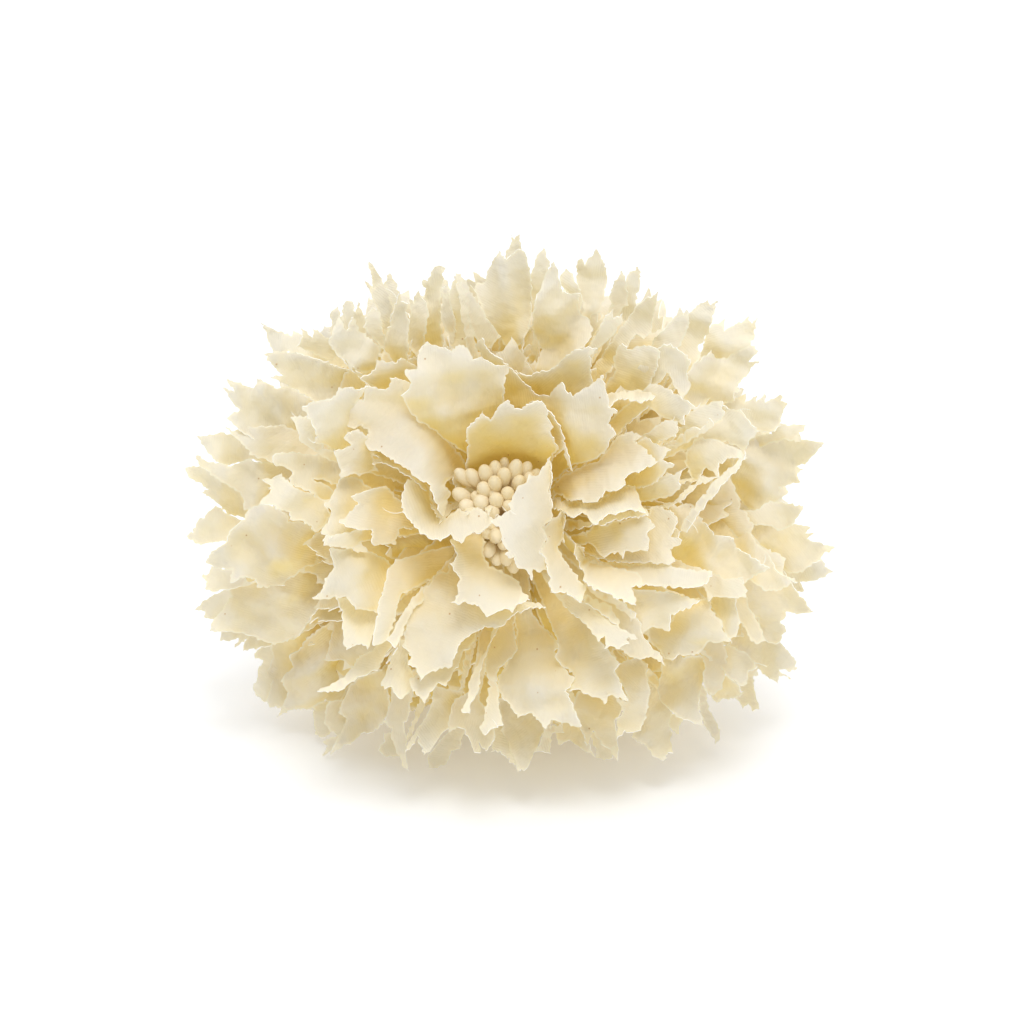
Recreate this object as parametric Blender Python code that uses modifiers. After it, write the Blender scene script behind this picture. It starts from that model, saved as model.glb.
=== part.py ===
"""A full handmade posy flower: rings of toothed petals round a bunch of bead stamens, resting on a surface.

Units are metres, +Z is up. The face of the flower looks towards -Y and a little up. The origin is at the
middle of the foot of the whole flower, on the surface that it lies on.
"""

import math
import random

import bmesh
import bpy
from mathutils import Matrix, Vector, geometry

MM = 0.001

# Driving dimensions of the whole flower, a flattened ball of petals round its core
FACE_LIFT = math.radians(18)
FACE_TURN = math.radians(4)
HALF_WIDTH = 61.5 * MM
HALF_DEPTH = 51 * MM
HALF_HEIGHT = 54 * MM
CORE_HEIGHT = 44 * MM
GAP = 0.3 * MM

# The wound core with its neck and its socket for the stamens, turned about the flower's axis
CORE_RADIUS = 9.0 * MM
CORE_SIDES = 16
CORE_ARC_STEPS = 7
NECK_RADIUS = 4.0 * MM
NECK_LENGTH = 32 * MM
NECK_CHAMFER = 0.8 * MM
SOCKET_RADIUS = 3.3 * MM
SOCKET_FLOOR = 3.7 * MM

# The binding thread, a close helix round the neck
THREAD_RADIUS = 0.5 * MM
THREAD_TURNS = 3
THREAD_START = 13 * MM
THREAD_POINTS = 9

# The stamens and the bound foot that they stand in
STAMENS = 40
STAMEN_SIDES = 5
HEAD_RADIUS = 1.15 * MM
HEAD_LENGTH = 4.0 * MM
STALK_RADIUS = 0.42 * MM
STALK_ROOT = 10 * MM
STALK_CIRCLE = 2.4 * MM
STAMEN_REACH = 32 * MM
STAMEN_SPREAD = 8.8 * MM
STAMEN_DOME = 1.6 * MM
FOOT_RADIUS = 3.0 * MM
FOOT_FLARE = 3.4 * MM
FOOT_TOP = 12.5 * MM
FOOT_SIDES = 12
GOLDEN_ANGLE = math.pi * (3 - math.sqrt(5))

# Petal blades and the glued hubs that they grow from
BLADE = 0.7 * MM
HUB_REACH = 10.3 * MM
HUB_RADIUS = 0.95 * MM
HUB_SIDES = 14
CLAW_ROOT = 9.9 * MM
CLAW_WIDTH = 3.0 * MM
PETAL_WIDTH = 17.5 * MM
MIDRIB = (0.42, 0.78)
TOOTH_START = 0.50
TOOTH_SPAN = 0.43
TOOTH_STEP = 0.035

# The petal rings: lean from the flower's axis at the hub and at the tips, petals in each ring, and, as shares
# of the ring's own cone of space, how far its two sub-layers stand apart and how far a petal may bow
FIRST_ROOT = math.radians(38)
ROOT_STEP = math.radians(12.5)
FIRST_TIP = math.radians(50)
TIP_STEP = math.radians(13.5)
FAN_REACH = 56 * MM
RING_COUNTS = (13, 16, 18, 19, 18, 16, 13, 10, 7)
FORWARD_RINGS = 5
FINE_RINGS = 3
LAYER_SHARE = 0.18
BOW_SHARE = 0.24
RIPPLE = 0.8 * MM

# The inner petals: angle round the axis and lean at the apex in degrees, reach from the core and width in mm
INNER_ROOT = FIRST_ROOT - ROOT_STEP
INNER_PETALS = (
    (-23, 39, 50, 26),
    (5, 28, 42, 22),
    (38, 37, 49, 23),
    (69, 37, 46, 22),
    (92, 32, 46, 20),
    (107, 39, 54, 16),
    (106, 15, 41, 17),
    (130, 32, 51, 16),
    (146, 24, 50, 15),
    (182, 23, 51, 17),
    (204, 37, 54, 25),
    (232, 20, 41, 20),
    (265, 23, 47, 19),
    (303, 39, 49, 24),
)

# How far petals bend where the flower rests on them, and how much of the lowest ones is worn flat
PRESS_HEIGHT = 4.8 * MM
FLAT_DEPTH = 0.5 * MM

AXIS = Vector((-math.sin(FACE_TURN) * math.cos(FACE_LIFT), -math.cos(FACE_TURN) * math.cos(FACE_LIFT),
               math.sin(FACE_LIFT)))
UP = Vector((math.sin(FACE_TURN) * math.sin(FACE_LIFT), math.cos(FACE_TURN) * math.sin(FACE_LIFT),
             math.cos(FACE_LIFT)))
RIGHT = UP.cross(AXIS)
CORE = Vector((0, 0, CORE_HEIGHT))


def clear_scene():
    for obj in list(bpy.data.objects):
        bpy.data.objects.remove(obj)


def new_collection(name):
    made = bpy.data.collections.new(name)
    bpy.context.scene.collection.children.link(made)
    return made


def material(name, colour, roughness):
    made = bpy.data.materials.new(name)
    made.use_nodes = True
    shader = made.node_tree.nodes["Principled BSDF"]
    shader.inputs["Base Color"].default_value = (*colour, 1)
    shader.inputs["Roughness"].default_value = roughness
    shader.inputs["Metallic"].default_value = 0
    return made


def add_object(name, mesh, collection, finish=None):
    obj = bpy.data.objects.new(name, mesh)
    collection.objects.link(obj)
    if finish:
        mesh.materials.clear()
        mesh.materials.append(finish)
    return obj


def evaluated_mesh(obj):
    bpy.context.view_layer.update()
    graph = bpy.context.evaluated_depsgraph_get()
    return bpy.data.meshes.new_from_object(obj.evaluated_get(graph))


def direction(lean, round_angle):
    """Unit vector at a lean from the flower's axis; round_angle runs clockwise from the top, seen in front."""
    outward = UP * math.cos(round_angle) + RIGHT * math.sin(round_angle)
    return AXIS * math.cos(lean) + outward * math.sin(lean)


def along_axis():
    """Matrix that stands a piece made along +Z on the core's centre, pointing out of the flower's face."""
    return Matrix.Translation(CORE) @ Matrix((RIGHT, UP, AXIS)).transposed().to_4x4()


def reach_of(heading):
    """Distance from the core to the flower's outside, which is a flattened ball."""
    scaled = Vector((heading.x / HALF_WIDTH, heading.y / HALF_DEPTH, heading.z / HALF_HEIGHT))
    return 1 / scaled.length


def press_down(point, side):
    """Bends what would reach the surface forwards or backwards along it."""
    if point.z >= PRESS_HEIGHT:
        return point
    height = PRESS_HEIGHT * math.exp((point.z - PRESS_HEIGHT) / PRESS_HEIGHT)
    return Vector((point.x, point.y + side * (height - point.z), height))


def turned(name, profile, sides, collection):
    """A solid turned about Z from (radius, height) points that run from its top down its outer side."""
    mesh = bpy.data.meshes.new(name)
    edges = [(i, i + 1) for i in range(len(profile) - 1)]
    mesh.from_pydata([(radius, 0, height) for radius, height in profile], edges, [])
    obj = add_object(name, mesh, collection)
    screw = obj.modifiers.new("turn", "SCREW")
    screw.steps = screw.render_steps = sides
    screw.use_merge_vertices = True
    screw.merge_threshold = 0.001 * MM
    return obj


def fill_pockets(mesh):
    """Keeps a mesh's largest connected skin, so that pockets closed in by crossing blades are filled."""
    solid = bmesh.new()
    solid.from_mesh(mesh)
    left = set(solid.verts)
    skins = []
    while left:
        skin = set()
        reached = [next(iter(left))]
        while reached:
            vertex = reached.pop()
            if vertex in left:
                left.remove(vertex)
                skin.add(vertex)
                reached += [edge.other_vert(vertex) for edge in vertex.link_edges]
        skins.append(skin)
    largest = max(skins, key=len)
    bmesh.ops.delete(solid, geom=[vertex for vertex in solid.verts if vertex not in largest], context="VERTS")
    solid.to_mesh(mesh)
    solid.free()
    return mesh


def join_all(base, pieces, name, collection, finish):
    """One solid from a base and a collection of pieces sunk into it."""
    union = base.modifiers.new("join", "BOOLEAN")
    union.operation = "UNION"
    union.solver = "MANIFOLD"
    union.operand_type = "COLLECTION"
    union.collection = pieces
    joined = add_object(name, fill_pockets(evaluated_mesh(base)), collection, finish)
    joined.matrix_world = base.matrix_world
    for piece in [base, *pieces.objects]:
        bpy.data.objects.remove(piece)
    bpy.data.collections.remove(pieces)
    return joined


def bound_core(collection, finish):
    """The wound ball that carries the petals, with a socket in front and a neck behind."""
    wall_top = math.sqrt(CORE_RADIUS**2 - SOCKET_RADIUS**2)
    first = math.acos(wall_top / CORE_RADIUS)
    last = math.pi - math.asin(NECK_RADIUS / CORE_RADIUS)
    profile = [(0, SOCKET_FLOOR), (SOCKET_RADIUS, SOCKET_FLOOR)]
    for i in range(CORE_ARC_STEPS + 1):
        angle = first + (last - first) * i / CORE_ARC_STEPS
        profile.append((CORE_RADIUS * math.sin(angle), CORE_RADIUS * math.cos(angle)))
    profile += [(NECK_RADIUS, -NECK_LENGTH + NECK_CHAMFER), (NECK_RADIUS - NECK_CHAMFER, -NECK_LENGTH)]
    profile.append((0, -NECK_LENGTH))
    core = turned("bound_core", profile, CORE_SIDES, collection)
    core.data.materials.append(finish)
    core.matrix_world = along_axis()


def binding_thread(collection, finish):
    """A thick thread wound closely round the neck, behind the last petals."""
    curve = bpy.data.curves.new("binding_thread", "CURVE")
    curve.dimensions = "3D"
    curve.bevel_depth = THREAD_RADIUS
    curve.bevel_resolution = 2
    curve.use_fill_caps = True
    spline = curve.splines.new("POLY")
    count = THREAD_TURNS * THREAD_POINTS + 1
    spline.points.add(count - 1)
    winding = NECK_RADIUS + GAP + THREAD_RADIUS
    pitch = 2 * THREAD_RADIUS + GAP
    for i in range(count):
        turns = i / THREAD_POINTS
        angle = math.tau * turns
        height = -THREAD_START - pitch * turns
        spline.points[i].co = (winding * math.cos(angle), winding * math.sin(angle), height, 1)
    tube = add_object("thread_guide", curve, collection)
    mesh = evaluated_mesh(tube)
    bpy.data.objects.remove(tube)
    solid = bmesh.new()
    solid.from_mesh(mesh)
    bmesh.ops.remove_doubles(solid, verts=solid.verts, dist=0.001 * MM)
    solid.to_mesh(mesh)
    solid.free()
    thread = add_object("binding_thread", mesh, collection, finish)
    thread.matrix_world = along_axis()


def stamen_bunch(collection, finish):
    """Bead-headed stamens that fan out of one bound foot, which stands in the core's socket."""
    foot = turned("foot", [
        (0, FOOT_TOP),
        (FOOT_FLARE - 0.6 * MM, FOOT_TOP - 0.1 * MM),
        (FOOT_FLARE, FOOT_TOP - 0.7 * MM),
        (FOOT_RADIUS, FOOT_TOP - 2 * MM),
        (FOOT_RADIUS, SOCKET_FLOOR + GAP),
        (0, SOCKET_FLOOR + GAP),
    ], FOOT_SIDES, collection)
    pieces = new_collection("pieces")
    rng = random.Random(40)
    for i in range(STAMENS):
        share = math.sqrt((i + 0.5) / STAMENS)
        angle = i * GOLDEN_ANGLE
        around = Vector((math.cos(angle), math.sin(angle), 0))
        root = around * share * STALK_CIRCLE + Vector((0, 0, STALK_ROOT))
        top = STAMEN_REACH - STAMEN_DOME * share**2 + rng.uniform(-0.7, 0.5) * MM
        head = around * share * STAMEN_SPREAD + Vector((0, 0, top))
        length = (head - root).length
        stamen = turned("stamen", [
            (0, length),
            (0.75 * HEAD_RADIUS, length - 0.10 * HEAD_LENGTH),
            (HEAD_RADIUS, length - 0.36 * HEAD_LENGTH),
            (STALK_RADIUS, length - HEAD_LENGTH),
            (STALK_RADIUS, 0),
            (0, 0),
        ], STAMEN_SIDES, pieces)
        aim = (head - root).to_track_quat("Z", "Y").to_matrix().to_4x4()
        stamen.matrix_world = Matrix.Translation(root) @ aim
    bunch = join_all(foot, pieces, "stamen_bunch", collection, finish)
    bunch.matrix_world = along_axis()


def petal_outline(width, teeth, taper, roundness, rng):
    """(t, across) points round a petal, with t from its claw at 0 to its apex at 1 and teeth on both margins."""
    margins = []
    for side in (-1, 1):
        margin = [(0.0, side * CLAW_WIDTH / 2)]
        for i in range(teeth):
            peak = TOOTH_START + TOOTH_SPAN * (i + rng.uniform(-0.12, 0.12)) / (teeth - 0.5)
            notch = peak + TOOTH_STEP
            for t, low, high in ((peak, 1.0, 1.14), (notch, 0.66, 0.82)):
                half = width / 2 * math.sin(math.pi * t**taper) ** roundness
                margin.append((t, side * half * rng.uniform(low, high)))
        margins.append(margin)
    apex = (1.0, width * rng.uniform(-0.06, 0.06))
    return margins[0] + [apex] + margins[1][::-1]


def solid_petal(outline, placed, collection):
    """A thin petal: its outline and midrib triangulated flat, moved by placed(t, across), then thickened."""
    flat = [Vector((t * FAN_REACH, across)) for t, across in outline + [(t, 0.0) for t in MIDRIB]]
    margin = list(range(len(outline)))
    points, _, faces, *_ = geometry.delaunay_2d_cdt(flat, [], [margin], 1, 1e-7)
    mesh = bpy.data.meshes.new("blade")
    mesh.from_pydata([placed(p.x / FAN_REACH, p.y) for p in points], [], faces)
    sheet = add_object("sheet", mesh, collection)
    thick = sheet.modifiers.new("thickness", "SOLIDIFY")
    thick.thickness = BLADE
    thick.offset = 0
    add_object("petal", evaluated_mesh(sheet), collection)
    bpy.data.objects.remove(sheet)


def hub(lean):
    """The glued ring that a ring of petals grows from."""
    bpy.ops.mesh.primitive_torus_add(
        major_radius=HUB_REACH * math.sin(lean),
        minor_radius=HUB_RADIUS,
        major_segments=HUB_SIDES,
        minor_segments=5,
        location=CORE + AXIS * HUB_REACH * math.cos(lean),
        rotation=AXIS.to_track_quat("Z", "Y").to_euler(),
    )
    return bpy.context.object


def petal_ring(number, count, collection, finish):
    """One gathered ring: petals in two alternating sub-layers, all kept inside the ring's own cone of space."""
    rng = random.Random(100 + number)
    root_lean = FIRST_ROOT + ROOT_STEP * number
    tip_lean = FIRST_TIP + TIP_STEP * number
    side = -1 if number < FORWARD_RINGS else 1
    teeth = 3 if number < FINE_RINGS else 2
    pieces = new_collection("pieces")
    for i in range(count):
        middle = math.tau * (i + 0.5 * (number % 2) + rng.uniform(-0.16, 0.16)) / count
        width = PETAL_WIDTH * rng.uniform(0.9, 1.08)
        tip = reach_of(direction(tip_lean, middle)) * rng.uniform(0.93, 1.0)
        layer = LAYER_SHARE if i % 2 else -LAYER_SHARE
        roll = rng.uniform(-0.3, 0.3)
        cup = rng.uniform(-0.1, 0.5)
        curl = rng.uniform(-0.02, 0.06)
        ripple = rng.uniform(0, math.tau)

        def placed(t, across):
            rho = CLAW_ROOT + (tip - CLAW_ROOT) * t
            share = (rho - CLAW_ROOT) / (FAN_REACH - CLAW_ROOT)
            lean = root_lean + (tip_lean - root_lean) * share
            step = ROOT_STEP + (TIP_STEP - ROOT_STEP) * share
            bow = cup * across**2 / width + roll * across * t + curl * tip * t**3
            bow += RIPPLE * t * math.sin(ripple + 9 * t)
            most = rho * step * BOW_SHARE - BLADE / 4
            off = rho * step * layer + most * math.tanh(bow / most)
            heading = direction(lean + off / rho, middle + across / (rho * math.sin(lean)))
            return press_down(CORE + heading * rho, side)

        solid_petal(petal_outline(width, teeth, 1.4, 0.75, rng), placed, pieces)
    join_all(hub(root_lean), pieces, f"petal_ring_{number + 1}", collection, finish)


def inner_petals(collection, finish):
    """The broad rounded petals round the stamens; three of them stand up and lean in over the bunch."""
    rng = random.Random(12)
    pieces = new_collection("pieces")
    for round_angle, apex_lean, reach, width in INNER_PETALS:
        middle = math.radians(round_angle)
        apex = math.radians(apex_lean)
        cup = rng.uniform(0.15, 0.4)
        ripple = rng.uniform(0, math.tau)

        def placed(t, across):
            rho = CLAW_ROOT + (reach * MM - CLAW_ROOT) * t
            rise = t if apex > INNER_ROOT else t**4
            lean = INNER_ROOT + (apex - INNER_ROOT) * rise
            bow = RIPPLE * t * math.sin(ripple + 8 * t) - cup * t * across**2 / (reach * MM)
            heading = direction(lean + bow / rho, middle + across / (rho * math.sin(lean)))
            return CORE + heading * rho

        solid_petal(petal_outline(width * MM, 3, 1.5, 0.6, rng), placed, pieces)
    join_all(hub(INNER_ROOT), pieces, "inner_petals", collection, finish)


def rest_on_surface(nodes, cutters):
    """Wears the lowest petals flat at one level, and moves that level to z = 0 with the flower over the origin."""
    corners = [obj.matrix_world @ vertex.co for obj in nodes for vertex in obj.data.vertices]
    level = min(corner.z for corner in corners) + FLAT_DEPTH
    block = bmesh.new()
    bmesh.ops.create_cube(block, size=1)
    mesh = bpy.data.meshes.new("worn_flat")
    block.to_mesh(mesh)
    block.free()
    worn = add_object("worn_flat", mesh, cutters)
    worn.scale = (4 * HALF_WIDTH, 4 * HALF_DEPTH, HALF_HEIGHT)
    worn.location.z = level - HALF_HEIGHT / 2
    worn.hide_render = True
    worn.display_type = "WIRE"
    for obj in nodes:
        cut = obj.modifiers.new("worn flat", "BOOLEAN")
        cut.operation = "DIFFERENCE"
        cut.solver = "MANIFOLD"
        cut.object = worn
        obj.data = evaluated_mesh(obj)
        obj.modifiers.clear()
    middle = [(min(c[i] for c in corners) + max(c[i] for c in corners)) / 2 for i in range(2)]
    for obj in [*nodes, worn]:
        obj.matrix_world = Matrix.Translation((-middle[0], -middle[1], -level)) @ obj.matrix_world


def main():
    clear_scene()
    posy = new_collection("posy")
    cutters = new_collection("cutters")
    cloth = material("petal_cloth", (0.86, 0.78, 0.58), 0.85)
    inner_cloth = material("inner_petal_cloth", (0.90, 0.84, 0.68), 0.85)
    bead = material("stamen_bead", (0.72, 0.58, 0.36), 0.6)
    wound = material("wound_core", (0.70, 0.60, 0.42), 0.9)
    thread = material("thread", (0.80, 0.72, 0.55), 0.8)
    bound_core(posy, wound)
    binding_thread(posy, thread)
    stamen_bunch(posy, bead)
    inner_petals(posy, inner_cloth)
    for number, count in enumerate(RING_COUNTS):
        petal_ring(number, count, posy, cloth)
    rest_on_surface(list(posy.objects), cutters)


main()
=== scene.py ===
"""The looks of a full handmade cloth flower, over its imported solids. Metres, +Z up, face towards -Y."""

import math
import random
from collections import namedtuple
from functools import partial
from itertools import product

import bpy
import numpy as np
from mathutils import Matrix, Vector, geometry


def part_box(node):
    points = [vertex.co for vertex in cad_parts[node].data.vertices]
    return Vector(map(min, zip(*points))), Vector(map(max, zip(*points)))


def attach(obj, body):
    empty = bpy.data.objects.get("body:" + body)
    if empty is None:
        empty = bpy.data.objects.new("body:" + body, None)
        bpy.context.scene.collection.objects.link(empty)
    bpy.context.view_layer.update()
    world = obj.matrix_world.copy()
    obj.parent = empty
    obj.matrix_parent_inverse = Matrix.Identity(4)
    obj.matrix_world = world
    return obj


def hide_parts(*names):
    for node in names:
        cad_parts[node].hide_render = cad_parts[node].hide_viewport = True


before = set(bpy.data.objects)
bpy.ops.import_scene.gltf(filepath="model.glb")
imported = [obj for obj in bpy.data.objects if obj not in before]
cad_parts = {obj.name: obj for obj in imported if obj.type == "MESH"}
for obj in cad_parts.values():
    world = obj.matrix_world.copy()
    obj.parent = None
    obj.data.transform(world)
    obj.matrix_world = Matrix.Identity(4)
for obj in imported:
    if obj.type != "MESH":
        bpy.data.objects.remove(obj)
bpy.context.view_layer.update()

MM = 0.001

# The wound core
# A ball of cotton strip wound over a wire, with the neck that the strip is tied off round. Every ring of
# petals and the foot of the stamens are glued to it. Only the end of its neck shows, from behind and below.
FACE_LIFT = math.radians(18)
FACE_TURN = math.radians(4)
core_low, core_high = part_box("bound_core")
CORE_RADIUS = (core_high.x - core_low.x) / 2
CORE = np.array((
    (core_low.x + core_high.x) / 2,
    core_low.y + CORE_RADIUS,
    core_high.z - CORE_RADIUS,
))
OUT = np.array((
    -math.sin(FACE_TURN) * math.cos(FACE_LIFT),
    -math.cos(FACE_TURN) * math.cos(FACE_LIFT),
    math.sin(FACE_LIFT),
))
UP = np.array((
    math.sin(FACE_TURN) * math.sin(FACE_LIFT),
    math.cos(FACE_TURN) * math.sin(FACE_LIFT),
    math.cos(FACE_LIFT),
))
RIGHT = np.cross(UP, OUT)
NECK_RADIUS = 3.9 * MM
NECK_LENGTH = 31.8 * MM
STRIP_WIDTH = 2.4 * MM
STRIP_STEP = 0.22 * MM
NECK_STEP = 0.3 * MM
NECK_END = 0.8
CORE_SIDES = 72
CORE_STATIONS = 150
SHARP_EDGE = math.radians(55)
WOUND_COLOUR = (0.60, 0.47, 0.27)


def from_core(right, up, out):
    """Place of a point measured from the core's centre along the flower's own directions."""
    return CORE + np.multiply.outer(right, RIGHT) + np.multiply.outer(up, UP) + np.multiply.outer(out, OUT)


def unit(vectors):
    return vectors / np.linalg.norm(vectors, axis=-1, keepdims=True)


def swept(path, radii, sides):
    """Points and faces of a closed rod along path, with a radius for each station, or for each side too."""
    path = np.asarray(path, float)
    along = unit(np.gradient(path, axis=0))
    radii = np.asarray(radii, float)
    if radii.ndim == 1:
        radii = np.repeat(radii[:, None], sides, axis=1)
    first = np.cross(along[0], (1, 0, 0) if abs(along[0][0]) < 0.8 else (0, 1, 0))
    turns = np.arange(sides) * math.tau / sides
    rings = []
    for i, heading in enumerate(along):
        first = unit(first - heading * first.dot(heading))
        second = np.cross(heading, first)
        circle = np.cos(turns)[:, None] * first + np.sin(turns)[:, None] * second
        rings.append(path[i] + circle * radii[i][:, None])
    count = len(path)
    points = np.vstack([*rings, path[:1], path[-1:]])
    faces = []
    for i in range(count - 1):
        for j in range(sides):
            k = (j + 1) % sides
            faces.append((i * sides + j, i * sides + k, (i + 1) * sides + k, (i + 1) * sides + j))
    last = (count - 1) * sides
    for j in range(sides):
        k = (j + 1) % sides
        faces.append((k, j, count * sides))
        faces.append((last + j, last + k, count * sides + 1))
    return points, faces


def joined(rods):
    """One list of points and one of faces from several (points, faces) rods."""
    points, faces, start = [], [], 0
    for rod_points, rod_faces in rods:
        points.append(rod_points)
        faces += [tuple(corner + start for corner in face) for face in rod_faces]
        start += len(rod_points)
    return np.vstack(points), faces


def smooth_piece(name, points, faces, finish):
    mesh = bpy.data.meshes.new(name)
    mesh.from_pydata(points.tolist(), [], faces)
    mesh.shade_smooth()
    mesh.set_sharp_from_angle(angle=SHARP_EDGE)
    mesh.materials.append(finish)
    piece = bpy.data.objects.new(name, mesh)
    bpy.context.scene.collection.objects.link(piece)
    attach(piece, "root")
    return piece


def add_node(finish, kind, **sockets):
    """A shader node in a finish, with its sockets set by name."""
    node = finish.node_tree.nodes.new(kind)
    for socket, value in sockets.items():
        node.inputs[socket.replace("_", " ")].default_value = value
    return node


def bare_finish(name, roughness):
    """A new finish with only its Principled shader, and that shader. A faint glow in it isn't a lamp."""
    finish = bpy.data.materials.new(name)
    finish.use_nodes = True
    finish.cycles.emission_sampling = "NONE"
    shader = finish.node_tree.nodes["Principled BSDF"]
    shader.inputs["Roughness"].default_value = roughness
    return finish, shader


def wound_finish():
    """Unbleached cotton strip: uneven tint and a fine open weave."""
    finish, shader = bare_finish("wound_cotton", 0.9)
    link = finish.node_tree.links.new
    place = add_node(finish, "ShaderNodeTexCoord")
    tint = add_node(finish, "ShaderNodeTexNoise", Scale=400, Detail=4)
    ramp = add_node(finish, "ShaderNodeValToRGB")
    ramp.color_ramp.elements[0].position = 0.35
    ramp.color_ramp.elements[0].color = (*[c * 0.8 for c in WOUND_COLOUR], 1)
    ramp.color_ramp.elements[1].position = 0.7
    ramp.color_ramp.elements[1].color = (*WOUND_COLOUR, 1)
    weave = add_node(finish, "ShaderNodeTexVoronoi", Scale=2600)
    bump = add_node(finish, "ShaderNodeBump", Strength=0.4, Distance=0.15 * MM)
    link(place.outputs["Object"], tint.inputs["Vector"])
    link(place.outputs["Object"], weave.inputs["Vector"])
    link(tint.outputs["Fac"], ramp.inputs["Fac"])
    link(ramp.outputs["Color"], shader.inputs["Base Color"])
    link(weave.outputs["Distance"], bump.inputs["Height"])
    link(bump.outputs["Normal"], shader.inputs["Normal"])
    return finish


def wound_core():
    """Ball and neck as one turned skin, its radius stepped along a helix like overlapped turns of strip."""
    neck_join = math.pi - math.asin(NECK_RADIUS / CORE_RADIUS)
    ball = CORE_RADIUS - 2 * STRIP_STEP
    angles = np.linspace(0.0, neck_join, CORE_STATIONS // 2)
    neck_top = ball * math.cos(neck_join) - NECK_STEP
    neck = np.linspace(neck_top, -NECK_LENGTH, CORE_STATIONS // 2)
    heights = np.concatenate((ball * np.cos(angles), neck))
    radii = np.concatenate((ball * np.sin(angles), np.full(CORE_STATIONS // 2, NECK_RADIUS - STRIP_STEP)))
    radii[0] = radii[1] * 0.3
    turns = np.arange(CORE_SIDES) / CORE_SIDES
    lap = (heights[:, None] / STRIP_WIDTH + turns[None, :]) % 1
    stepped = radii[:, None] + STRIP_STEP * lap * np.minimum(1, radii[:, None] / (3 * MM))
    stepped[-1] *= NECK_END
    nought = np.zeros(len(heights))
    points, faces = swept(from_core(nought, nought, heights), stepped, CORE_SIDES)
    piece = smooth_piece("wound_core", points, faces, wound_finish())
    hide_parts("bound_core")


wound_core()

# The stamens
# About fifty craft stamens: cotton stalks with heads dipped in beige paste, bound together at the foot with a
# wrap of thread and glued into the core's socket. The heads stand at uneven heights and lean outwards.
STAMEN_SIDES = 14
HEAD_RADIUS = 1.2 * MM
HEAD_LENGTH = 5.8 * MM
HEAD_TIP = 0.32
STALK_RADIUS = 0.40 * MM
STALK_CIRCLE = 2.3 * MM
STALK_ROOT = 9.5 * MM
STALK_BEND = 0.8
STALK_ARCH = 3.5 * MM
STAMEN_PLACES = 44
STAMEN_REACH = 30.6 * MM
STAMEN_SPREAD = 9.9 * MM
HEADS_APART = 1.12
FOOT_RADIUS = 3.0 * MM
FOOT_BOTTOM = 4.1 * MM
FOOT_TOP = 12.6 * MM
FOOT_TURN = 0.7 * MM
FOOT_GROOVE = 0.25 * MM
FOOT_END = 0.75
FOOT_SIDES = 36
FOOT_STATIONS = 40
BEAD_COLOUR = (0.91, 0.80, 0.56)
BEAD_PALE = (0.94, 0.86, 0.68)
# A faint warm painted glow of the heads, which stands in for light bounced between them
BEAD_PAINTED_GLOW_COLOUR = (1, 0.65, 0.3)
BEAD_PAINTED_GLOW_STRENGTH = 0.035
GOLDEN_ANGLE = math.pi * (3 - math.sqrt(5))

# The heads that show between the petals: where each stands (right, up, out of the face, in mm) and its size
SEEN_HEADS = (
    (-7.0, 7.9, 29.1, 1), (-5.1, 7.9, 29.4, 1.05), (-7.2, 4.5, 30.2, 1.12), (-5.9, 2.5, 31.1, 1.05),
    (-2.6, 8.7, 29.9, 1.08), (-0.8, 9.4, 28.8, 1), (0.9, 8.3, 30.0, 1.06), (2.9, 9.7, 29.3, 1.12),
    (4.7, 9.3, 27.4, 0.95), (-2.7, 5.8, 30.9, 1.1), (-0.7, 6.9, 31.1, 1.05), (1.6, 5.0, 31.2, 1.02),
    (-0.4, 3.9, 31.8, 1.12), (-3.2, 3.4, 31.2, 1.2), (1.8, 2.8, 31.0, 0.95), (-1.0, 1.6, 31.7, 1.08),
    (3.6, 7.1, 29.5, 0.95), (5.2, 7.6, 28.5, 0.85), (6.3, 8.1, 27.3, 0.85), (0.7, 9.9, 26.8, 0.8),
    (-0.3, -3.0, 31.9, 1.12), (-1.6, -5.8, 30.0, 0.98), (-0.2, -7.3, 28.9, 1), (1.7, -7.1, 30.1, 1.05),
    (2.8, -8.5, 28.4, 1), (-1.9, -2.5, 30.3, 0.95), (-1.2, -1.1, 30.3, 0.95), (1.1, -4.4, 30.4, 0.95),
    (2.8, 0.6, 31.4, 1), (1.0, -0.4, 31.6, 1), (3.4, 3.4, 30.7, 1),
)


def bead_finish():
    """Dried paste on cotton: smooth and matt, paler on some heads, with a faint uneven skin and a painted
    glow.
    """
    finish, shader = bare_finish("stamen_paste", 0.55)
    link = finish.node_tree.links.new
    shader.inputs["Specular IOR Level"].default_value = 0.35
    place = add_node(finish, "ShaderNodeTexCoord")
    tint = add_node(finish, "ShaderNodeTexNoise", Scale=160, Detail=2)
    ramp = add_node(finish, "ShaderNodeValToRGB")
    ramp.color_ramp.elements[0].position = 0.38
    ramp.color_ramp.elements[0].color = (*BEAD_COLOUR, 1)
    ramp.color_ramp.elements[1].position = 0.64
    ramp.color_ramp.elements[1].color = (*BEAD_PALE, 1)
    # Painted glow: the heads glow faintly warm, standing in for light bounced between them.
    shader.inputs["Emission Color"].default_value = (*BEAD_PAINTED_GLOW_COLOUR, 1)
    shader.inputs["Emission Strength"].default_value = BEAD_PAINTED_GLOW_STRENGTH
    skin = add_node(finish, "ShaderNodeTexNoise", Scale=1500, Detail=3)
    bump = add_node(finish, "ShaderNodeBump", Strength=0.25, Distance=0.1 * MM)
    link(place.outputs["Object"], tint.inputs["Vector"])
    link(place.outputs["Object"], skin.inputs["Vector"])
    link(tint.outputs["Fac"], ramp.inputs["Fac"])
    link(ramp.outputs["Color"], shader.inputs["Base Color"])
    link(skin.outputs["Fac"], bump.inputs["Height"])
    link(bump.outputs["Normal"], shader.inputs["Normal"])
    return finish


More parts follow.
